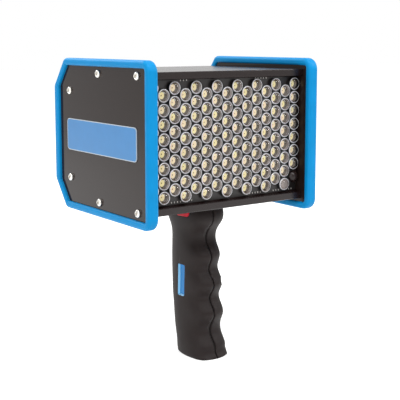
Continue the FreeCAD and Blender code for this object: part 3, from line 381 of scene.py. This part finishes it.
# Each finish: its colour's name, material, roughness, other sockets and looks. A mottle is a share and a
# grain, a wander two roughnesses and a grain, a grain a width, a depth and perhaps a detail, all in mm
FINISHES = (
    # Thermoplastic rubber, moulded in a lightly blasted tool: soft broad gloss
    ("rubber", "moulded_rubber_blue", 0.45, {"IOR": 1.5, "Specular IOR Level": 0.15},
     {"mottle": (0.05, 14), "grain": (0.35, 0.02)}),
    # Steel sheet with smooth black stove enamel: dark, with a clear soft mirror
    ("plate", "stove_enamel_black", 0.07, {"IOR": 1.5, "Specular IOR Level": 0.22},
     {"wander": (0.05, 0.1, 30), "grain": (1.2, 0.004, 1.0)}),
    # Aluminium extrusion, blasted and black anodised: fine satin grain
    ("housing", "anodised_aluminium_black", 0.24, {"IOR": 1.5, "Specular IOR Level": 0.35},
     {"mottle": (0.12, 0.6), "grain": (0.18, 0.012)}),
    # Printed polyester film: flat blue with a satin overlaminate, and a pale edge
    ("label", "polyester_film_blue", 0.34, {"IOR": 1.5, "Coat Weight": 0.15, "Coat Roughness": 0.3},
     {"mottle": (0.03, 8), "grain": (0.3, 0.006)}),
    ("label_edge", "polyester_film_edge", 0.4, {"IOR": 1.5}, {"mottle": (0.04, 3)}),
    # Glass-epoxy board under black solder mask: weave shows faintly through the gloss
    ("board", "solder_mask_black", 0.35, {"IOR": 1.5}, {"pattern": woven}),
    # Soldered pins: pale and dull
    ("marks", "board_print_white", 0.5, {"IOR": 1.5}, {"mottle": (0.05, 0.5)}),
    # Clear epoxy, cast in a polished mould: full gloss and deep refraction
    ("epoxy", "cast_epoxy_clear", 0.03, {"IOR": 1.52, "Transmission Weight": 1.0}, {}),
    # Epoxy that lets only infrared through: nearly black, with a soft gloss
    ("epoxy_smoked", "cast_epoxy_smoked", 0.12, {"IOR": 1.52, "Specular IOR Level": 0.25},
     {"mottle": (0.2, 2)}),
    # Painted highlight: the flange's edge is coloured near white, so it shows as a bright ring
    ("flange", "epoxy_flange_edge", 0.3, {"IOR": 1.52}, {"mottle": (0.1, 1.5), "grain": (0.5, 0.01)}),
    # Painted reflection: a matt grey-brown, mottled disc on the board under each dome, standing in for the
    # bright surroundings seen through the dome
    ("bed", "cloudy_resin_grey_brown", 0.6, {"IOR": 1.5}, {"mottle": (0.35, 1.8)}),
    # Phosphor in silicone over the die: matt pale yellow, with a faint painted glow though the lamp is off
    ("phosphor", "phosphor_yellow", 0.6, {"IOR": 1.45, "Emission Strength": 0.12}, {"pattern": warm_batches_and_painted_glow}),
    # Die under the phosphor: a small darker amber spot
    ("die", "die_amber", 0.5, {"IOR": 1.45}, {"mottle": (0.15, 0.4)}),
    # Lead frame stamped to a cup, coloured dark brown as painted shade round the dot
    ("cup", "stained_lead_frame", 0.5, {"IOR": 1.5}, {"mottle": (0.3, 0.8)}),
    # Glass-filled nylon from a spark-eroded mould: even fine leathery grain
    ("handle", "glass_filled_nylon_black", 0.55, {"IOR": 1.5, "Specular IOR Level": 0.2},
     {"mottle": (0.1, 5), "grain": (0.45, 0.03, 3.0)}),
    # ABS, moulded in a polished tool: smooth gloss with faint flow marks
    ("inlay", "moulded_abs_blue", 0.25, {"IOR": 1.53, "Specular IOR Level": 0.3},
     {"mottle": (0.05, 6), "grain": (0.8, 0.006)}),
    # Painted highlight: the insert's slopes are coloured a paler blue
    ("inlay_slope", "moulded_abs_pale_blue", 0.3, {"IOR": 1.53}, {"mottle": (0.05, 4)}),
    ("trigger", "moulded_abs_red", 0.35, {"IOR": 1.53, "Specular IOR Level": 0.2},
     {"mottle": (0.08, 5), "grain": (0.6, 0.008)}),
    ("abs", "moulded_abs_black", 0.36, {"IOR": 1.53}, {"mottle": (0.08, 4), "grain": (0.3, 0.012)}),
    # Stainless steel, turned: bright, with rings from the tool
    ("steel", "turned_stainless_steel", 0.22, {"Metallic": 1.0},
     {"wander": (0.16, 0.3, 1.0), "grain": (0.25, 0.006)}),
    # Zinc-plated steel: bluish grey, a little cloudy
    ("zinc", "zinc_plated_steel", 0.35, {"Metallic": 1.0}, {"mottle": (0.1, 1.5)}),
    # Free-cutting brass, turned: warm yellow, finely ringed
    ("brass", "turned_brass", 0.28, {"Metallic": 1.0}, {"mottle": (0.08, 1.0), "grain": (0.2, 0.008)}),
    # Brass under bright nickel: pale, with a faintly uneven mirror
    ("nickel", "nickel_plated_brass", 0.2, {"Metallic": 1.0}, {"wander": (0.14, 0.28, 1.0)}),
    # Silicone rubber keys: matt, with a faint bloom
    ("key", "silicone_rubber_grey", 0.6, {"IOR": 1.43, "Sheen Weight": 0.2, "Sheen Roughness": 0.5},
     {"mottle": (0.06, 2), "grain": (0.25, 0.012)}),
    # Smoked acrylic over a display that is switched off: dark gloss
    ("window", "smoked_acrylic", 0.06, {"IOR": 1.49, "Transmission Weight": 0.55},
     {"wander": (0.04, 0.09, 12)}),
    ("display", "display_glass_face", 0.25, {"IOR": 1.52}, {"pattern": dotted}),
    # PBT, moulded with a fine texture: dull black
    ("socket", "moulded_pbt_black", 0.4, {"IOR": 1.55}, {"mottle": (0.1, 1.5), "grain": (0.3, 0.01)}),
    # What the head and handle hold inside: green mask, shrunk film with a soft gloss, and matt ferrite
    ("green_board", "solder_mask_green", 0.35, {"IOR": 1.5}, {"mottle": (0.12, 3), "pattern": traced}),
    ("sleeve", "shrink_sleeve_dark", 0.3, {"IOR": 1.5}, {"mottle": (0.08, 4)}),
    ("cell", "shrink_sleeve_green", 0.3, {"IOR": 1.5}, {"mottle": (0.06, 6)}),
    ("ferrite", "sintered_ferrite", 0.6, {"IOR": 2.0}, {"mottle": (0.2, 0.6), "grain": (0.4, 0.02)}),
)


def make_finishes(colours):
    """Make every finish, by the name that the pieces ask for."""
    for key, name, roughness, sockets, looks in FINISHES:
        base = getattr(colours, key)
        FINISH[key], tree, shader = surface(name, base, roughness, sockets)
        if "mottle" in looks:
            speckled(tree, shader, base, *looks["mottle"])
        if "wander" in looks:
            varied_roughness(tree, shader, *looks["wander"])
        if "grain" in looks:
            grained(tree, shader, *looks["grain"])
        if "pattern" in looks:
            looks["pattern"](tree, shader, colours)


# Shapes
def closed_mesh(name, shape):
    """A bmesh with its doubles merged and its faces outwards, as a mesh."""
    bmesh.ops.remove_doubles(shape, verts=shape.verts, dist=WELD)
    bmesh.ops.recalc_face_normals(shape, faces=shape.faces)
    mesh = bpy.data.meshes.new(name)
    shape.to_mesh(mesh)
    shape.free()
    return mesh


def merged(node):
    """A bmesh of a CAD node, with its loose triangles joined."""
    shape = bmesh.new()
    shape.from_mesh(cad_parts[node].data)
    bmesh.ops.remove_doubles(shape, verts=shape.verts, dist=WELD)
    return shape


def rounded(shape, geom, radius, segments, affect="EDGES"):
    """Round edges or corners."""
    bmesh.ops.bevel(shape, geom=geom, offset=radius, offset_type="OFFSET", segments=segments, profile=0.5,
                    affect=affect, clamp_overlap=affect == "EDGES", material=-1)


def piece(name, shape, finishes, body="lamp", stands_for=(), edge_angle=SMOOTH_ANGLE, even=True):
    """Close a bmesh into a named piece that rides on a body."""
    mesh = closed_mesh(name, shape)
    mesh.shade_smooth()
    mesh.set_sharp_from_angle(angle=math.radians(edge_angle))
    for finish in finishes:
        mesh.materials.append(FINISH[finish])
    made = bpy.data.objects.new(name, mesh)
    bpy.context.scene.collection.objects.link(made)
    if even:
        weights = made.modifiers.new("even_normals", "WEIGHTED_NORMAL")
        weights.keep_sharp = True
    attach(made, body)
    if stands_for:
        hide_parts(*stands_for)


def worked_copy(name, node, finish, body="lamp", edge=0.0, edge_angle=SMOOTH_ANGLE):
    """A merged copy of a CAD node, with flat faces whole and its edges broken."""
    shape = merged(node)
    for face in shape.faces:
        face.material_index = 0
    bmesh.ops.dissolve_limit(shape, angle_limit=math.radians(FLAT_ANGLE), verts=shape.verts,
                             edges=shape.edges)
    if edge:
        sharp = [e for e in shape.edges if e.is_manifold and e.calc_face_angle() > math.radians(edge_angle)]
        rounded(shape, sharp, edge, 2)
    piece(name, shape, (finish,), body, (node,), edge_angle)


def dress(node, finish):
    """Give a carried-over CAD node its finish."""
    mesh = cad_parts[node].data
    mesh.materials.clear()
    mesh.materials.append(FINISH[finish])


def head_corners(x, front, top, rear, corner):
    """The head's six side-view corners, drawn in by the given amount on each side."""
    sizes = bpy.context.scene.lamp_head
    run = math.hypot(sizes.slope_depth, sizes.slope_height)
    normal_y = sizes.slope_height / run
    normal_z = sizes.slope_depth / run
    half = (HEAD_HIGH.z - HEAD_LOW.z) / 2
    reach = normal_y * HEAD_HIGH.y + normal_z * (half - sizes.slope_height) - corner
    y_front = HEAD_LOW.y + front
    y_rear = HEAD_HIGH.y - rear
    z_top = half - top
    z_rear = (reach - normal_y * y_rear) / normal_z
    y_top = (reach - normal_z * z_top) / normal_y
    flat = [(y_front, -z_top), (y_top, -z_top), (y_rear, -z_rear), (y_rear, z_rear), (y_top, z_top),
            (y_front, z_top)]
    return [Vector((x, y, HEAD_Z + z)) for y, z in flat]


def rounded_face(shape, corners, radii, segments):
    """A flat face through the corners, each rounded with its own radius."""
    verts = [shape.verts.new(corner) for corner in corners]
    shape.faces.new(verts)
    for vert, radius in zip(verts, radii):
        if radius > 0:
            sides = [(edge.other_vert(vert).co - vert.co).normalized() for edge in vert.link_edges[:2]]
            half_angle = sides[0].angle(sides[1]) / 2
            rounded(shape, [vert], radius / math.tan(half_angle), segments, "VERTICES")


def flat_corners(x, low, high):
    """The four corners of a flat box in the plane at x."""
    return [Vector((x, y, z)) for y, z in ((low.y, low.z), (high.y, low.z), (high.y, high.z),
                                           (low.y, high.z))]


def moved_on(shape, faces, along, **settings):
    """Extrude faces and move the new ones along; gives all that is new."""
    lifted = bmesh.ops.extrude_face_region(shape, geom=faces, **settings)["geom"]
    verts = [item for item in lifted if isinstance(item, bmesh.types.BMVert)]
    bmesh.ops.translate(shape, verts=verts, vec=along)
    return lifted


def slab(shape, corners, radii, along, segments=6):
    """A straight slab on a rounded outline; gives its new far faces."""
    before = set(shape.faces)
    rounded_face(shape, corners, radii, segments)
    lifted = moved_on(shape, [face for face in shape.faces if face not in before], along)
    return [item for item in lifted if isinstance(item, bmesh.types.BMFace)]


def round_rims(shape, test, radius, segments):
    """Round the sharp edges that pass a test."""
    shape.normal_update()
    rims = [e for e in shape.edges
            if e.is_manifold and e.calc_face_angle() > math.radians(RIM_ANGLE) and test(e)]
    rounded(shape, rims, radius, segments)


def turned(shape, profile, base, axis, steps):
    """Turn a profile of (radius, height) round an axis that starts at base."""
    before = set(shape.verts)
    across = axis.orthogonal().normalized()
    line = [shape.verts.new(base + across * radius + axis * height) for radius, height in profile]
    edges = [shape.edges.new(pair) for pair in zip(line, line[1:])]
    bmesh.ops.spin(shape, geom=line + edges, cent=base, axis=axis, dvec=Vector(), angle=2 * math.pi,
                   steps=steps, use_merge=True, use_normal_flip=False, use_duplicate=False)
    new = [vert for vert in shape.verts if vert not in before]
    bmesh.ops.remove_doubles(shape, verts=new, dist=WELD)


def copied(shape, pattern, place):
    """Add a copy of a finished mesh at a place."""
    before = len(shape.verts)
    shape.from_mesh(pattern)
    shape.verts.ensure_lookup_table()
    bmesh.ops.translate(shape, verts=shape.verts[before:], vec=place)


def pattern(profile, sides, tall=1.0):
    """A shape turned round the way that the lamps shine, and made this much taller."""
    shape = bmesh.new()
    turned(shape, profile, Vector(), -Y_AXIS, sides)
    bmesh.ops.scale(shape, verts=shape.verts, vec=(1, 1, tall))
    return closed_mesh("pattern", shape)


def planted(name, mesh, places, finish, stands_for=()):
    """One piece that holds a copy of a pattern at every place."""
    shape = bmesh.new()
    for place in places:
        copied(shape, mesh, place)
    piece(name, shape, (finish,), stands_for=stands_for, edge_angle=SMALL_SMOOTH_ANGLE, even=False)


def lamp_places():
    """Centre of each place in the staggered grid, with its column and row."""
    sizes = bpy.context.scene.lamp_array
    places = {}
    for column in range(sizes.columns):
        stagger = sizes.stagger if column % 2 == 0 else -sizes.stagger
        for row in range(sizes.rows):
            x = (column - (sizes.columns - 1) / 2) * sizes.column_pitch
            z = ((sizes.rows - 1) / 2 - row + stagger) * sizes.row_pitch
            places[(column, row)] = Vector((x, BOARD_FRONT, ARRAY_Z + z))
    return places


# The stage
def seen_directly(tree):
    """One for what the camera sees, straight or in a mirror or lens, and else zero."""
    path = add(tree, "ShaderNodeLightPath").outputs
    through = add(tree, "ShaderNodeMath", {"operation": "MAXIMUM"},
                  {0: path["Is Glossy Ray"], 1: path["Is Transmission Ray"]})
    return add(tree, "ShaderNodeMath", {"operation": "MAXIMUM"},
               {0: path["Is Camera Ray"], 1: through.outputs[0]}).outputs[0]


def lay_floor(context):
    """A pale floor that keeps the object's shadow and is seen near white."""
    stage = context.scene.lamp_stage
    base = context.scene.lamp_colours.floor
    shape = bmesh.new()
    bmesh.ops.create_grid(shape, x_segments=1, y_segments=1, size=stage.floor_size / 2)
    mesh = bpy.data.meshes.new("floor")
    shape.to_mesh(mesh)
    shape.free()
    material, tree, shader = surface("floor_matt_white", base, 0.9)
    speckled(tree, shader, base, 0.01, 400)
    shader.inputs["Emission Color"].default_value = (1, 1, 1, 1)
    glow = add(tree, "ShaderNodeMath", {"operation": "MULTIPLY"},
               {0: seen_directly(tree), 1: stage.floor_glow})
    tree.links.new(glow.outputs[0], shader.inputs["Emission Strength"])
    mesh.materials.append(material)
    floor = bpy.data.objects.new("floor", mesh)
    context.scene.collection.objects.link(floor)


def light_background(context):
    """A background that is seen white, and lights the object less than it shows."""
    world = bpy.data.worlds.new("studio")
    world.use_nodes = True
    tree = world.node_tree
    background = tree.nodes["Background"]
    background.inputs["Color"].default_value = (1, 1, 1, 1)
    strength = add(tree, "ShaderNodeMapRange", None,
                   {"Value": seen_directly(tree), "To Min": context.scene.lamp_stage.fill, "To Max": 1.0})
    tree.links.new(strength.outputs["Result"], background.inputs["Strength"])
    context.scene.world = world


def hang_softboxes(context):
    """Area lamps that all point at the object."""
    for name, place, width, height, power in SOFTBOXES:
        light = bpy.data.lights.new(name, "AREA")
        light.shape = "RECTANGLE"
        light.size = width
        light.size_y = height
        light.energy = power
        lamp = bpy.data.objects.new(name, light)
        lamp.location = place
        lamp.rotation_euler = (LIT_POINT - lamp.location).to_track_quat("-Z", "Y").to_euler()
        context.scene.collection.objects.link(lamp)


def set_camera(context):
    """The photograph's view."""
    stage = context.scene.lamp_stage
    camera = bpy.data.cameras.new("camera")
    camera.lens = stage.lens
    camera.shift_y = stage.shift
    camera.sensor_width = SENSOR_WIDTH
    camera.clip_start = 0.01
    camera.clip_end = 100
    stand = bpy.data.objects.new("camera", camera)
    stand.location = stage.camera_place
    stand.rotation_euler = (math.pi / 2 - stage.camera_pitch, 0, -stage.camera_yaw)
    context.scene.collection.objects.link(stand)
    context.scene.camera = stand
    context.scene.view_settings.view_transform = "Standard"


class LampStage(bpy.types.Operator):
    """Set the floor, the lamps, the background and the camera"""
    bl_idname = "lamp.stage"
    bl_label = "Stage"

    def execute(self, context):
        lay_floor(context)
        light_background(context)
        hang_softboxes(context)
        set_camera(context)
        return {"FINISHED"}


# The head
def on_flat_side(edge, low_x, high_x):
    """True for an edge that lies in one of a slab's two flat sides."""
    a, b = edge.verts
    return abs(a.co.x - b.co.x) < WELD and min(abs(a.co.x - low_x), abs(a.co.x - high_x)) < WELD


def inside_test(lips):
    """A test for edges on the bumper's inner opening."""
    margin = 0.3 * MM
    corners = [corner.yz for corner in head_corners(0, *[lip - margin for lip in lips])]

    def test(edge):
        point = (edge.verts[0].co.yz + edge.verts[1].co.yz) / 2
        for start, end in zip(corners, corners[1:] + corners[:1]):
            along = end - start
            if along.cross(point - start) < 0:
                return False
        return True
    return test


class LampBumpers(bpy.types.Operator):
    """Mould the two rubber bumper frames"""
    bl_idname = "lamp.bumpers"
    bl_label = "Bumpers"

    def execute(self, context):
        sizes = context.scene.lamp_head
        outer_radii = [sizes.front_radius] + [sizes.rear_radius] * 4 + [sizes.front_radius]
        for side in ("left", "right"):
            node = "bumper_" + side
            low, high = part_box(node)
            shape = bmesh.new()
            rounded_face(shape, head_corners(low.x, 0, 0, 0, 0), outer_radii, CORNER_SEGMENTS)
            outer = list(shape.edges)
            bmesh.ops.delete(shape, geom=list(shape.faces), context="FACES_ONLY")
            lips = (sizes.front_lip, sizes.top_lip, sizes.rear_lip, sizes.corner_lip)
            before = set(shape.edges)
            rounded_face(shape, head_corners(low.x, *lips), [sizes.inner_radius] * 6, CORNER_SEGMENTS)
            bmesh.ops.delete(shape, geom=list(shape.faces), context="FACES_ONLY")
            inner = [edge for edge in shape.edges if edge not in before]
            bmesh.ops.bridge_loops(shape, edges=outer + inner)
            moved_on(shape, list(shape.faces), (high.x - low.x, 0, 0))
            bmesh.ops.recalc_face_normals(shape, faces=shape.faces)
            inside = inside_test(lips)
            round_rims(shape, lambda e: on_flat_side(e, low.x, high.x) and not inside(e), sizes.rim, 5)
            round_rims(shape, lambda e: on_flat_side(e, low.x, high.x) and inside(e), sizes.inner_rim, 3)
            piece("bumper_frame_" + side, shape, ("rubber",), stands_for=(node,))
        return {"FINISHED"}


class LampPlates(bpy.types.Operator):
    """Finish the side plates, the housing and the label"""
    bl_idname = "lamp.plates"
    bl_label = "Plates and housing"

    def execute(self, context):
        sizes = context.scene.lamp_head
        for side in ("left", "right"):
            worked_copy("enamelled_plate_" + side, "side_plate_" + side, "plate", edge=sizes.plate_edge)
        worked_copy("anodised_housing", "housing_extrusion", "housing", edge=sizes.housing_edge)
        low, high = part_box("side_label")
        shape = bmesh.new()
        far = slab(shape, flat_corners(high.x, low, high), [sizes.label_corner] * 4,
                   Vector((low.x - high.x, 0, 0)))
        bmesh.ops.inset_region(shape, faces=far, thickness=sizes.label_edge, use_even_offset=True)
        for face in shape.faces:
            face.material_index = 1
        for face in far:
            face.material_index = 0
        piece("label_film", shape, ("label", "label_edge"), stands_for=("side_label",), even=False)
        return {"FINISHED"}


def pan_screw(shape, base, axis, sizes):
    """A low round head on a plain shank, with a round socket where a hexagon is too small to show."""
    radius = sizes.screw_radius
    height = sizes.screw_height
    socket = sizes.socket_width / math.sqrt(3)
    # The crown is a quarter of an ellipse over the head's straight part, in shares of the head's size
    crown = [(radius * math.sin(step * math.pi / 12), height * (0.45 + 0.55 * math.cos(step * math.pi / 12)))
             for step in range(6, 1, -1)]
    mouth = (socket * 1.1, height * 0.94)
    turned(shape, [(sizes.shank_radius, -sizes.shank_length), (sizes.shank_radius, 0), (radius * 0.96, 0),
                   (radius, 0.12 * height)] + crown + [(socket * 1.25, height * 0.985), mouth],
           base, axis, SCREW_SIDES)
    turned(shape, [mouth, (socket, height * 0.9), (socket, height - sizes.socket_depth),
                   (0, height - sizes.socket_depth * 1.15)], base, axis, SCREW_SIDES)


def screw_centres(node):
    """Centres, in y and z, of the loose screws in one CAD node."""
    shape = merged(node)
    centres = []
    seen = set()
    for start in shape.verts:
        if start in seen:
            continue
        island = [start]
        seen.add(start)
        for vert in island:
            for edge in vert.link_edges:
                other = edge.other_vert(vert)
                if other not in seen:
                    seen.add(other)
                    island.append(other)
        points = [vert.co.copy() for vert in island]
        low = Vector([min(p[axis] for p in points) for axis in range(3)])
        high = Vector([max(p[axis] for p in points) for axis in range(3)])
        centres.append((low + high) / 2)
    shape.free()
    return [(centre.y, centre.z) for centre in centres]


class LampSideScrews(bpy.types.Operator):
    """Turn the twelve side screws"""
    bl_idname = "lamp.side_screws"
    bl_label = "Side screws"

    def execute(self, context):
        sizes = context.scene.lamp_head
        for side, name in ((-1, "left"), (1, "right")):
            node = "side_screws_" + name
            shape = bmesh.new()
            for y, z in screw_centres(node):
                pan_screw(shape, Vector((side * PLATE_OUTER, y, z)), X_AXIS * side, sizes)
            piece("pan_screws_" + name, shape, ("steel",), stands_for=(node,))
        return {"FINISHED"}


# The lamp array
def dome_pattern(sizes):
    """A lamp's clear body: a straight flange under a low cap of a sphere."""
    rim = sizes.flange_height
    body = sizes.flange_radius - sizes.flange_gap
    curve = (sizes.dome_radius ** 2 + sizes.dome_height ** 2) / (2 * sizes.dome_height)
    reach = math.asin(sizes.dome_radius / curve)
    angles = [reach * step / DOME_STEPS for step in range(DOME_STEPS, -1, -1)]
    cap = [(curve * math.sin(angle), rim + sizes.dome_height - curve * (1 - math.cos(angle)))
           for angle in angles]
    return pattern([(0, 0), (body, 0), (body, rim)] + cap, sizes.sides)


def rim_pattern(sizes):
    """The edge of a lamp's flange, coloured pale as a painted highlight."""
    outer = sizes.flange_radius
    shoulder = outer - sizes.rim_round
    inner = outer - sizes.rim_width
    rim = sizes.flange_height
    top = rim + sizes.rim_stand
    bottom = rim - sizes.rim_depth
    return pattern([(outer, bottom), (outer, rim - sizes.rim_round), (shoulder, top), (inner, top),
                    (inner, rim - sizes.rim_lip), (shoulder, bottom), (outer, bottom)], sizes.sides)


def collar_pattern(sizes):
    """The dark sleeve round a lamp's flange: painted shade that darkens the flange's side and keeps side
    light out of the dome.
    """
    outer = sizes.flange_radius
    inner = outer - sizes.collar_wall
    top = sizes.flange_height - sizes.collar_drop
    return pattern([(outer, 0), (outer, top), (inner, top), (inner, 0), (outer, 0)], sizes.sides)


def cup_pattern(sizes):
    """The lead frame's cup round the phosphor dot."""
    outer = sizes.cup_radius + sizes.cup_wall
    return pattern([(0, sizes.cup_floor), (sizes.chip_radius, sizes.cup_floor),
                    (sizes.cup_radius, sizes.cup_height), (outer, sizes.cup_height),
                    (outer, sizes.cup_base), (0, sizes.cup_base)], CUP_SIDES)


def bed_pattern(sizes):
    """The grey-brown disc on the board under a dome: a painted reflection of the surroundings seen through
    it.
    """
    return pattern([(0, sizes.bed_base), (sizes.bed_radius, sizes.bed_base),
                    (sizes.bed_radius, sizes.bed_top), (0, sizes.bed_top)], CUP_SIDES)


def chip_pattern(sizes):
    """The phosphor dot, slightly crowned and a tenth narrower at its top."""
    return pattern([(0, sizes.chip_base), (sizes.chip_radius, sizes.chip_base),
                    (sizes.chip_radius * 0.9, sizes.chip_height),
                    (0, sizes.chip_height + sizes.chip_crown)], CUP_SIDES)


def die_pattern(sizes):
    """The die in the dot, a fifth narrower at its top, with six sides because it is so small."""
    top = sizes.chip_height + sizes.die_height
    return pattern([(0, sizes.chip_height), (sizes.die_radius, sizes.chip_height),
                    (sizes.die_radius * 0.8, top), (0, top)], 6)


def pad_pattern(sizes):
    """A soldered pin: a low cone, stretched upright."""
    return pattern([(0, 0), (sizes.pad_width / 2, 0), (sizes.pad_width * 0.4, sizes.pad_rise),
                    (0, sizes.pad_top)], 8, sizes.pad_height / sizes.pad_width)


class LampArray(bpy.types.Operator):
    """Cast the lamps, their cups and phosphor dots, and dress the board"""
    bl_idname = "lamp.array"
    bl_label = "Lamp array"

    def execute(self, context):
        sizes = context.scene.lamp_array
        places = lamp_places()
        lamps = [place for key, place in places.items() if key not in (CLEAR_SENSOR, DARK_SENSOR)]
        # The last column has no beds with their painted reflection, because it is seen darker than the rest
        painted_reflection_places = [place for key, place in places.items() if key[0] < sizes.columns - 1 and key != DARK_SENSOR]
        clear = [places[CLEAR_SENSOR]]
        dark = [places[DARK_SENSOR]]
        dome = dome_pattern(sizes)
        rim = rim_pattern(sizes)
        die = die_pattern(sizes)
        planted("lamp_domes", dome, lamps, "epoxy", ("led_lenses",))
        planted("lamp_rims", rim, lamps, "flange")
        # The black sleeves are painted shade round each lamp's flange
        planted("lamp_collars", collar_pattern(sizes), places.values(), "abs")
        planted("lamp_cups", cup_pattern(sizes), lamps, "cup")
        planted("lamp_beds", bed_pattern(sizes), painted_reflection_places, "bed")
        planted("lamp_phosphor", chip_pattern(sizes), lamps, "phosphor")
        planted("lamp_dies", die, lamps, "die")
        planted("light_sensor_clear_dome", dome, clear, "epoxy", ("light_sensor_clear",))
        planted("light_sensor_dark_dome", dome, dark, "epoxy_smoked", ("light_sensor_dark",))
        planted("light_sensor_clear_rim", rim, clear, "flange")
        planted("light_sensor_dark_rim", rim, dark, "epoxy_smoked")
        planted("light_sensor_die", die, clear, "sleeve")
        dress("led_board", "board")
        pins = [Vector((first * MM + pin * sizes.pad_pitch, BOARD_FRONT, ARRAY_Z + height * MM))
                for first, count, height in PIN_ROWS for pin in range(count)]
        planted("soldered_pins", pad_pattern(sizes), pins, "marks")
        return {"FINISHED"}


# The rear controls and the handle
class LampControls(bpy.types.Operator):
    """Finish the rear panel with its window, keys, knob and sockets"""
    bl_idname = "lamp.controls"
    bl_label = "Rear controls"

    def execute(self, context):
        sizes = context.scene.lamp_controls
        worked_copy("anodised_rear_panel", "rear_panel", "housing", edge=sizes.panel_edge)
        worked_copy("smoked_window", "display_window", "window", edge=sizes.panel_edge)
        dress("display_module", "display")
        for name in ("power", "up", "down", "mode"):
            worked_copy("moulded_key_" + name, "key_" + name, "key", name + "_key", edge=sizes.edge)
        worked_copy("ribbed_knob", "selector_knob", "abs", "selector", edge=sizes.edge)
        for node in ("sync_in_socket", "sync_out_socket", "charge_socket"):
            worked_copy("moulded_" + node, node, "socket", edge=sizes.socket_edge)
        worked_copy("panel_screw_heads", "rear_panel_screws", "steel", edge=sizes.screw_edge)
        return {"FINISHED"}


def dished_inlay(sizes):
    """The blue insert: a rounded frame that slopes from the handle's skin to a sunken floor."""
    low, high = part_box("handle_inlay")
    shell = bmesh.new()
    shell.from_mesh(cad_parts["handle_shell_left"].data)
    skin = BVHTree.FromBMesh(shell)
    shell.free()
    middle_y = (low.y + high.y) / 2
    middle_z = (low.z + high.z) / 2
    shape = bmesh.new()
    rounded_face(shape, flat_corners(low.x, low, high), [sizes.inlay_corner] * 4, 4)
    long_sides = [edge for edge in shape.edges if edge.calc_length() > sizes.inlay_span]
    bmesh.ops.subdivide_edges(shape, edges=long_sides, cuts=6)
    moved_on(shape, list(shape.faces), (sizes.inlay_depth + sizes.inlay_back, 0, 0), use_keep_orig=True)
    shape.normal_update()
    front = min(shape.faces, key=lambda f: f.calc_center_median().x)
    for vert in front.verts:
        beside = Vector((low.x - sizes.ray_run,
                         vert.co.y + math.copysign(sizes.ray_side, vert.co.y - middle_y),
                         vert.co.z + math.copysign(sizes.ray_side, vert.co.z - middle_z)))
        hit = skin.ray_cast(beside, X_AXIS)[0]
        if hit is not None:
            vert.co.x = hit.x
    slopes = bmesh.ops.inset_region(shape, faces=[front], thickness=sizes.inlay_slope,
                                    use_even_offset=True)["faces"]
    bmesh.ops.translate(shape, verts=list(front.verts),
                        vec=(sizes.inlay_depth, -sizes.inlay_shift, sizes.inlay_shift))
    # The slopes get the pale finish: a painted highlight on the insert's walls
    for face in slopes:
        face.material_index = 1
    piece("moulded_inlay", shape, ("inlay", "inlay_slope"), stands_for=("handle_inlay",), edge_angle=25,
          even=False)


class LampHandle(bpy.types.Operator):
    """Finish the handle's halves, inlay, trigger and bush"""
    bl_idname = "lamp.handle"
    bl_label = "Handle"

    def execute(self, context):
        sizes = context.scene.lamp_handle
        for side in ("left", "right"):
            worked_copy("moulded_shell_" + side, "handle_shell_" + side, "handle", edge_angle=40)
        dished_inlay(sizes)
        worked_copy("moulded_trigger", "trigger_button", "trigger", "trigger", edge=sizes.edge)
        worked_copy("shell_screw_heads", "handle_shell_screws", "zinc", edge=sizes.edge)
        dress("tripod_bush", "brass")
        return {"FINISHED"}


class LampInside(bpy.types.Operator):
    """Dress what the head and handle hold inside"""
    bl_idname = "lamp.inside"
    bl_label = "Inside"

    def execute(self, context):
        for finish, nodes in (
                ("green_board", ("driver_board", "control_board")),
                ("sleeve", ("driver_capacitors",)),
                ("ferrite", ("driver_coils",)),
                ("nickel", ("board_spacers", "control_posts", "cell_links")),
                ("abs", ("key_switches", "encoder_body", "trigger_switch")),
                ("steel", ("encoder_shaft",)),
                ("zinc", ("handle_mount_plate", "handle_mount_screws")),
                ("cell", ("battery_cells",))):
            for node in nodes:
                dress(node, finish)
        return {"FINISHED"}


class LampPanel(bpy.types.Panel):
    """Lists the lamp's sizes, colours and pieces"""
    bl_idname = "VIEW3D_PT_lamp"
    bl_label = "Stroboscope lamp"
    bl_space_type = "VIEW_3D"
    bl_region_type = "UI"
    bl_category = "Lamp"

    def draw(self, context):
        for operator in OPERATORS:
            self.layout.operator(operator.bl_idname)
        for name in GROUPS:
            group = getattr(context.scene, name)
            box = self.layout.box()
            for field in group.bl_rna.properties.keys():
                if field not in ("rna_type", "name"):
                    box.prop(group, field)


GROUPS = {"lamp_head": HeadSizes, "lamp_array": ArraySizes, "lamp_controls": ControlSizes,
          "lamp_handle": HandleSizes, "lamp_stage": StageSettings, "lamp_colours": FinishColours}
OPERATORS = (LampStage, LampBumpers, LampPlates, LampSideScrews, LampArray, LampControls, LampHandle,
             LampInside)
CLASSES = (*GROUPS.values(), *OPERATORS, LampPanel)


def register():
    for kind in CLASSES:
        bpy.utils.register_class(kind)
    for name, group in GROUPS.items():
        setattr(bpy.types.Scene, name, bpy.props.PointerProperty(type=group))


def unregister():
    for name in GROUPS:
        delattr(bpy.types.Scene, name)
    for kind in reversed(CLASSES):
        bpy.utils.unregister_class(kind)


def main():
    register()
    make_finishes(bpy.context.scene.lamp_colours)
    bpy.ops.lamp.stage()
    bpy.ops.lamp.bumpers()
    bpy.ops.lamp.plates()
    bpy.ops.lamp.side_screws()
    bpy.ops.lamp.array()
    bpy.ops.lamp.controls()
    bpy.ops.lamp.handle()
    bpy.ops.lamp.inside()


if __name__ == "__main__":
    main()
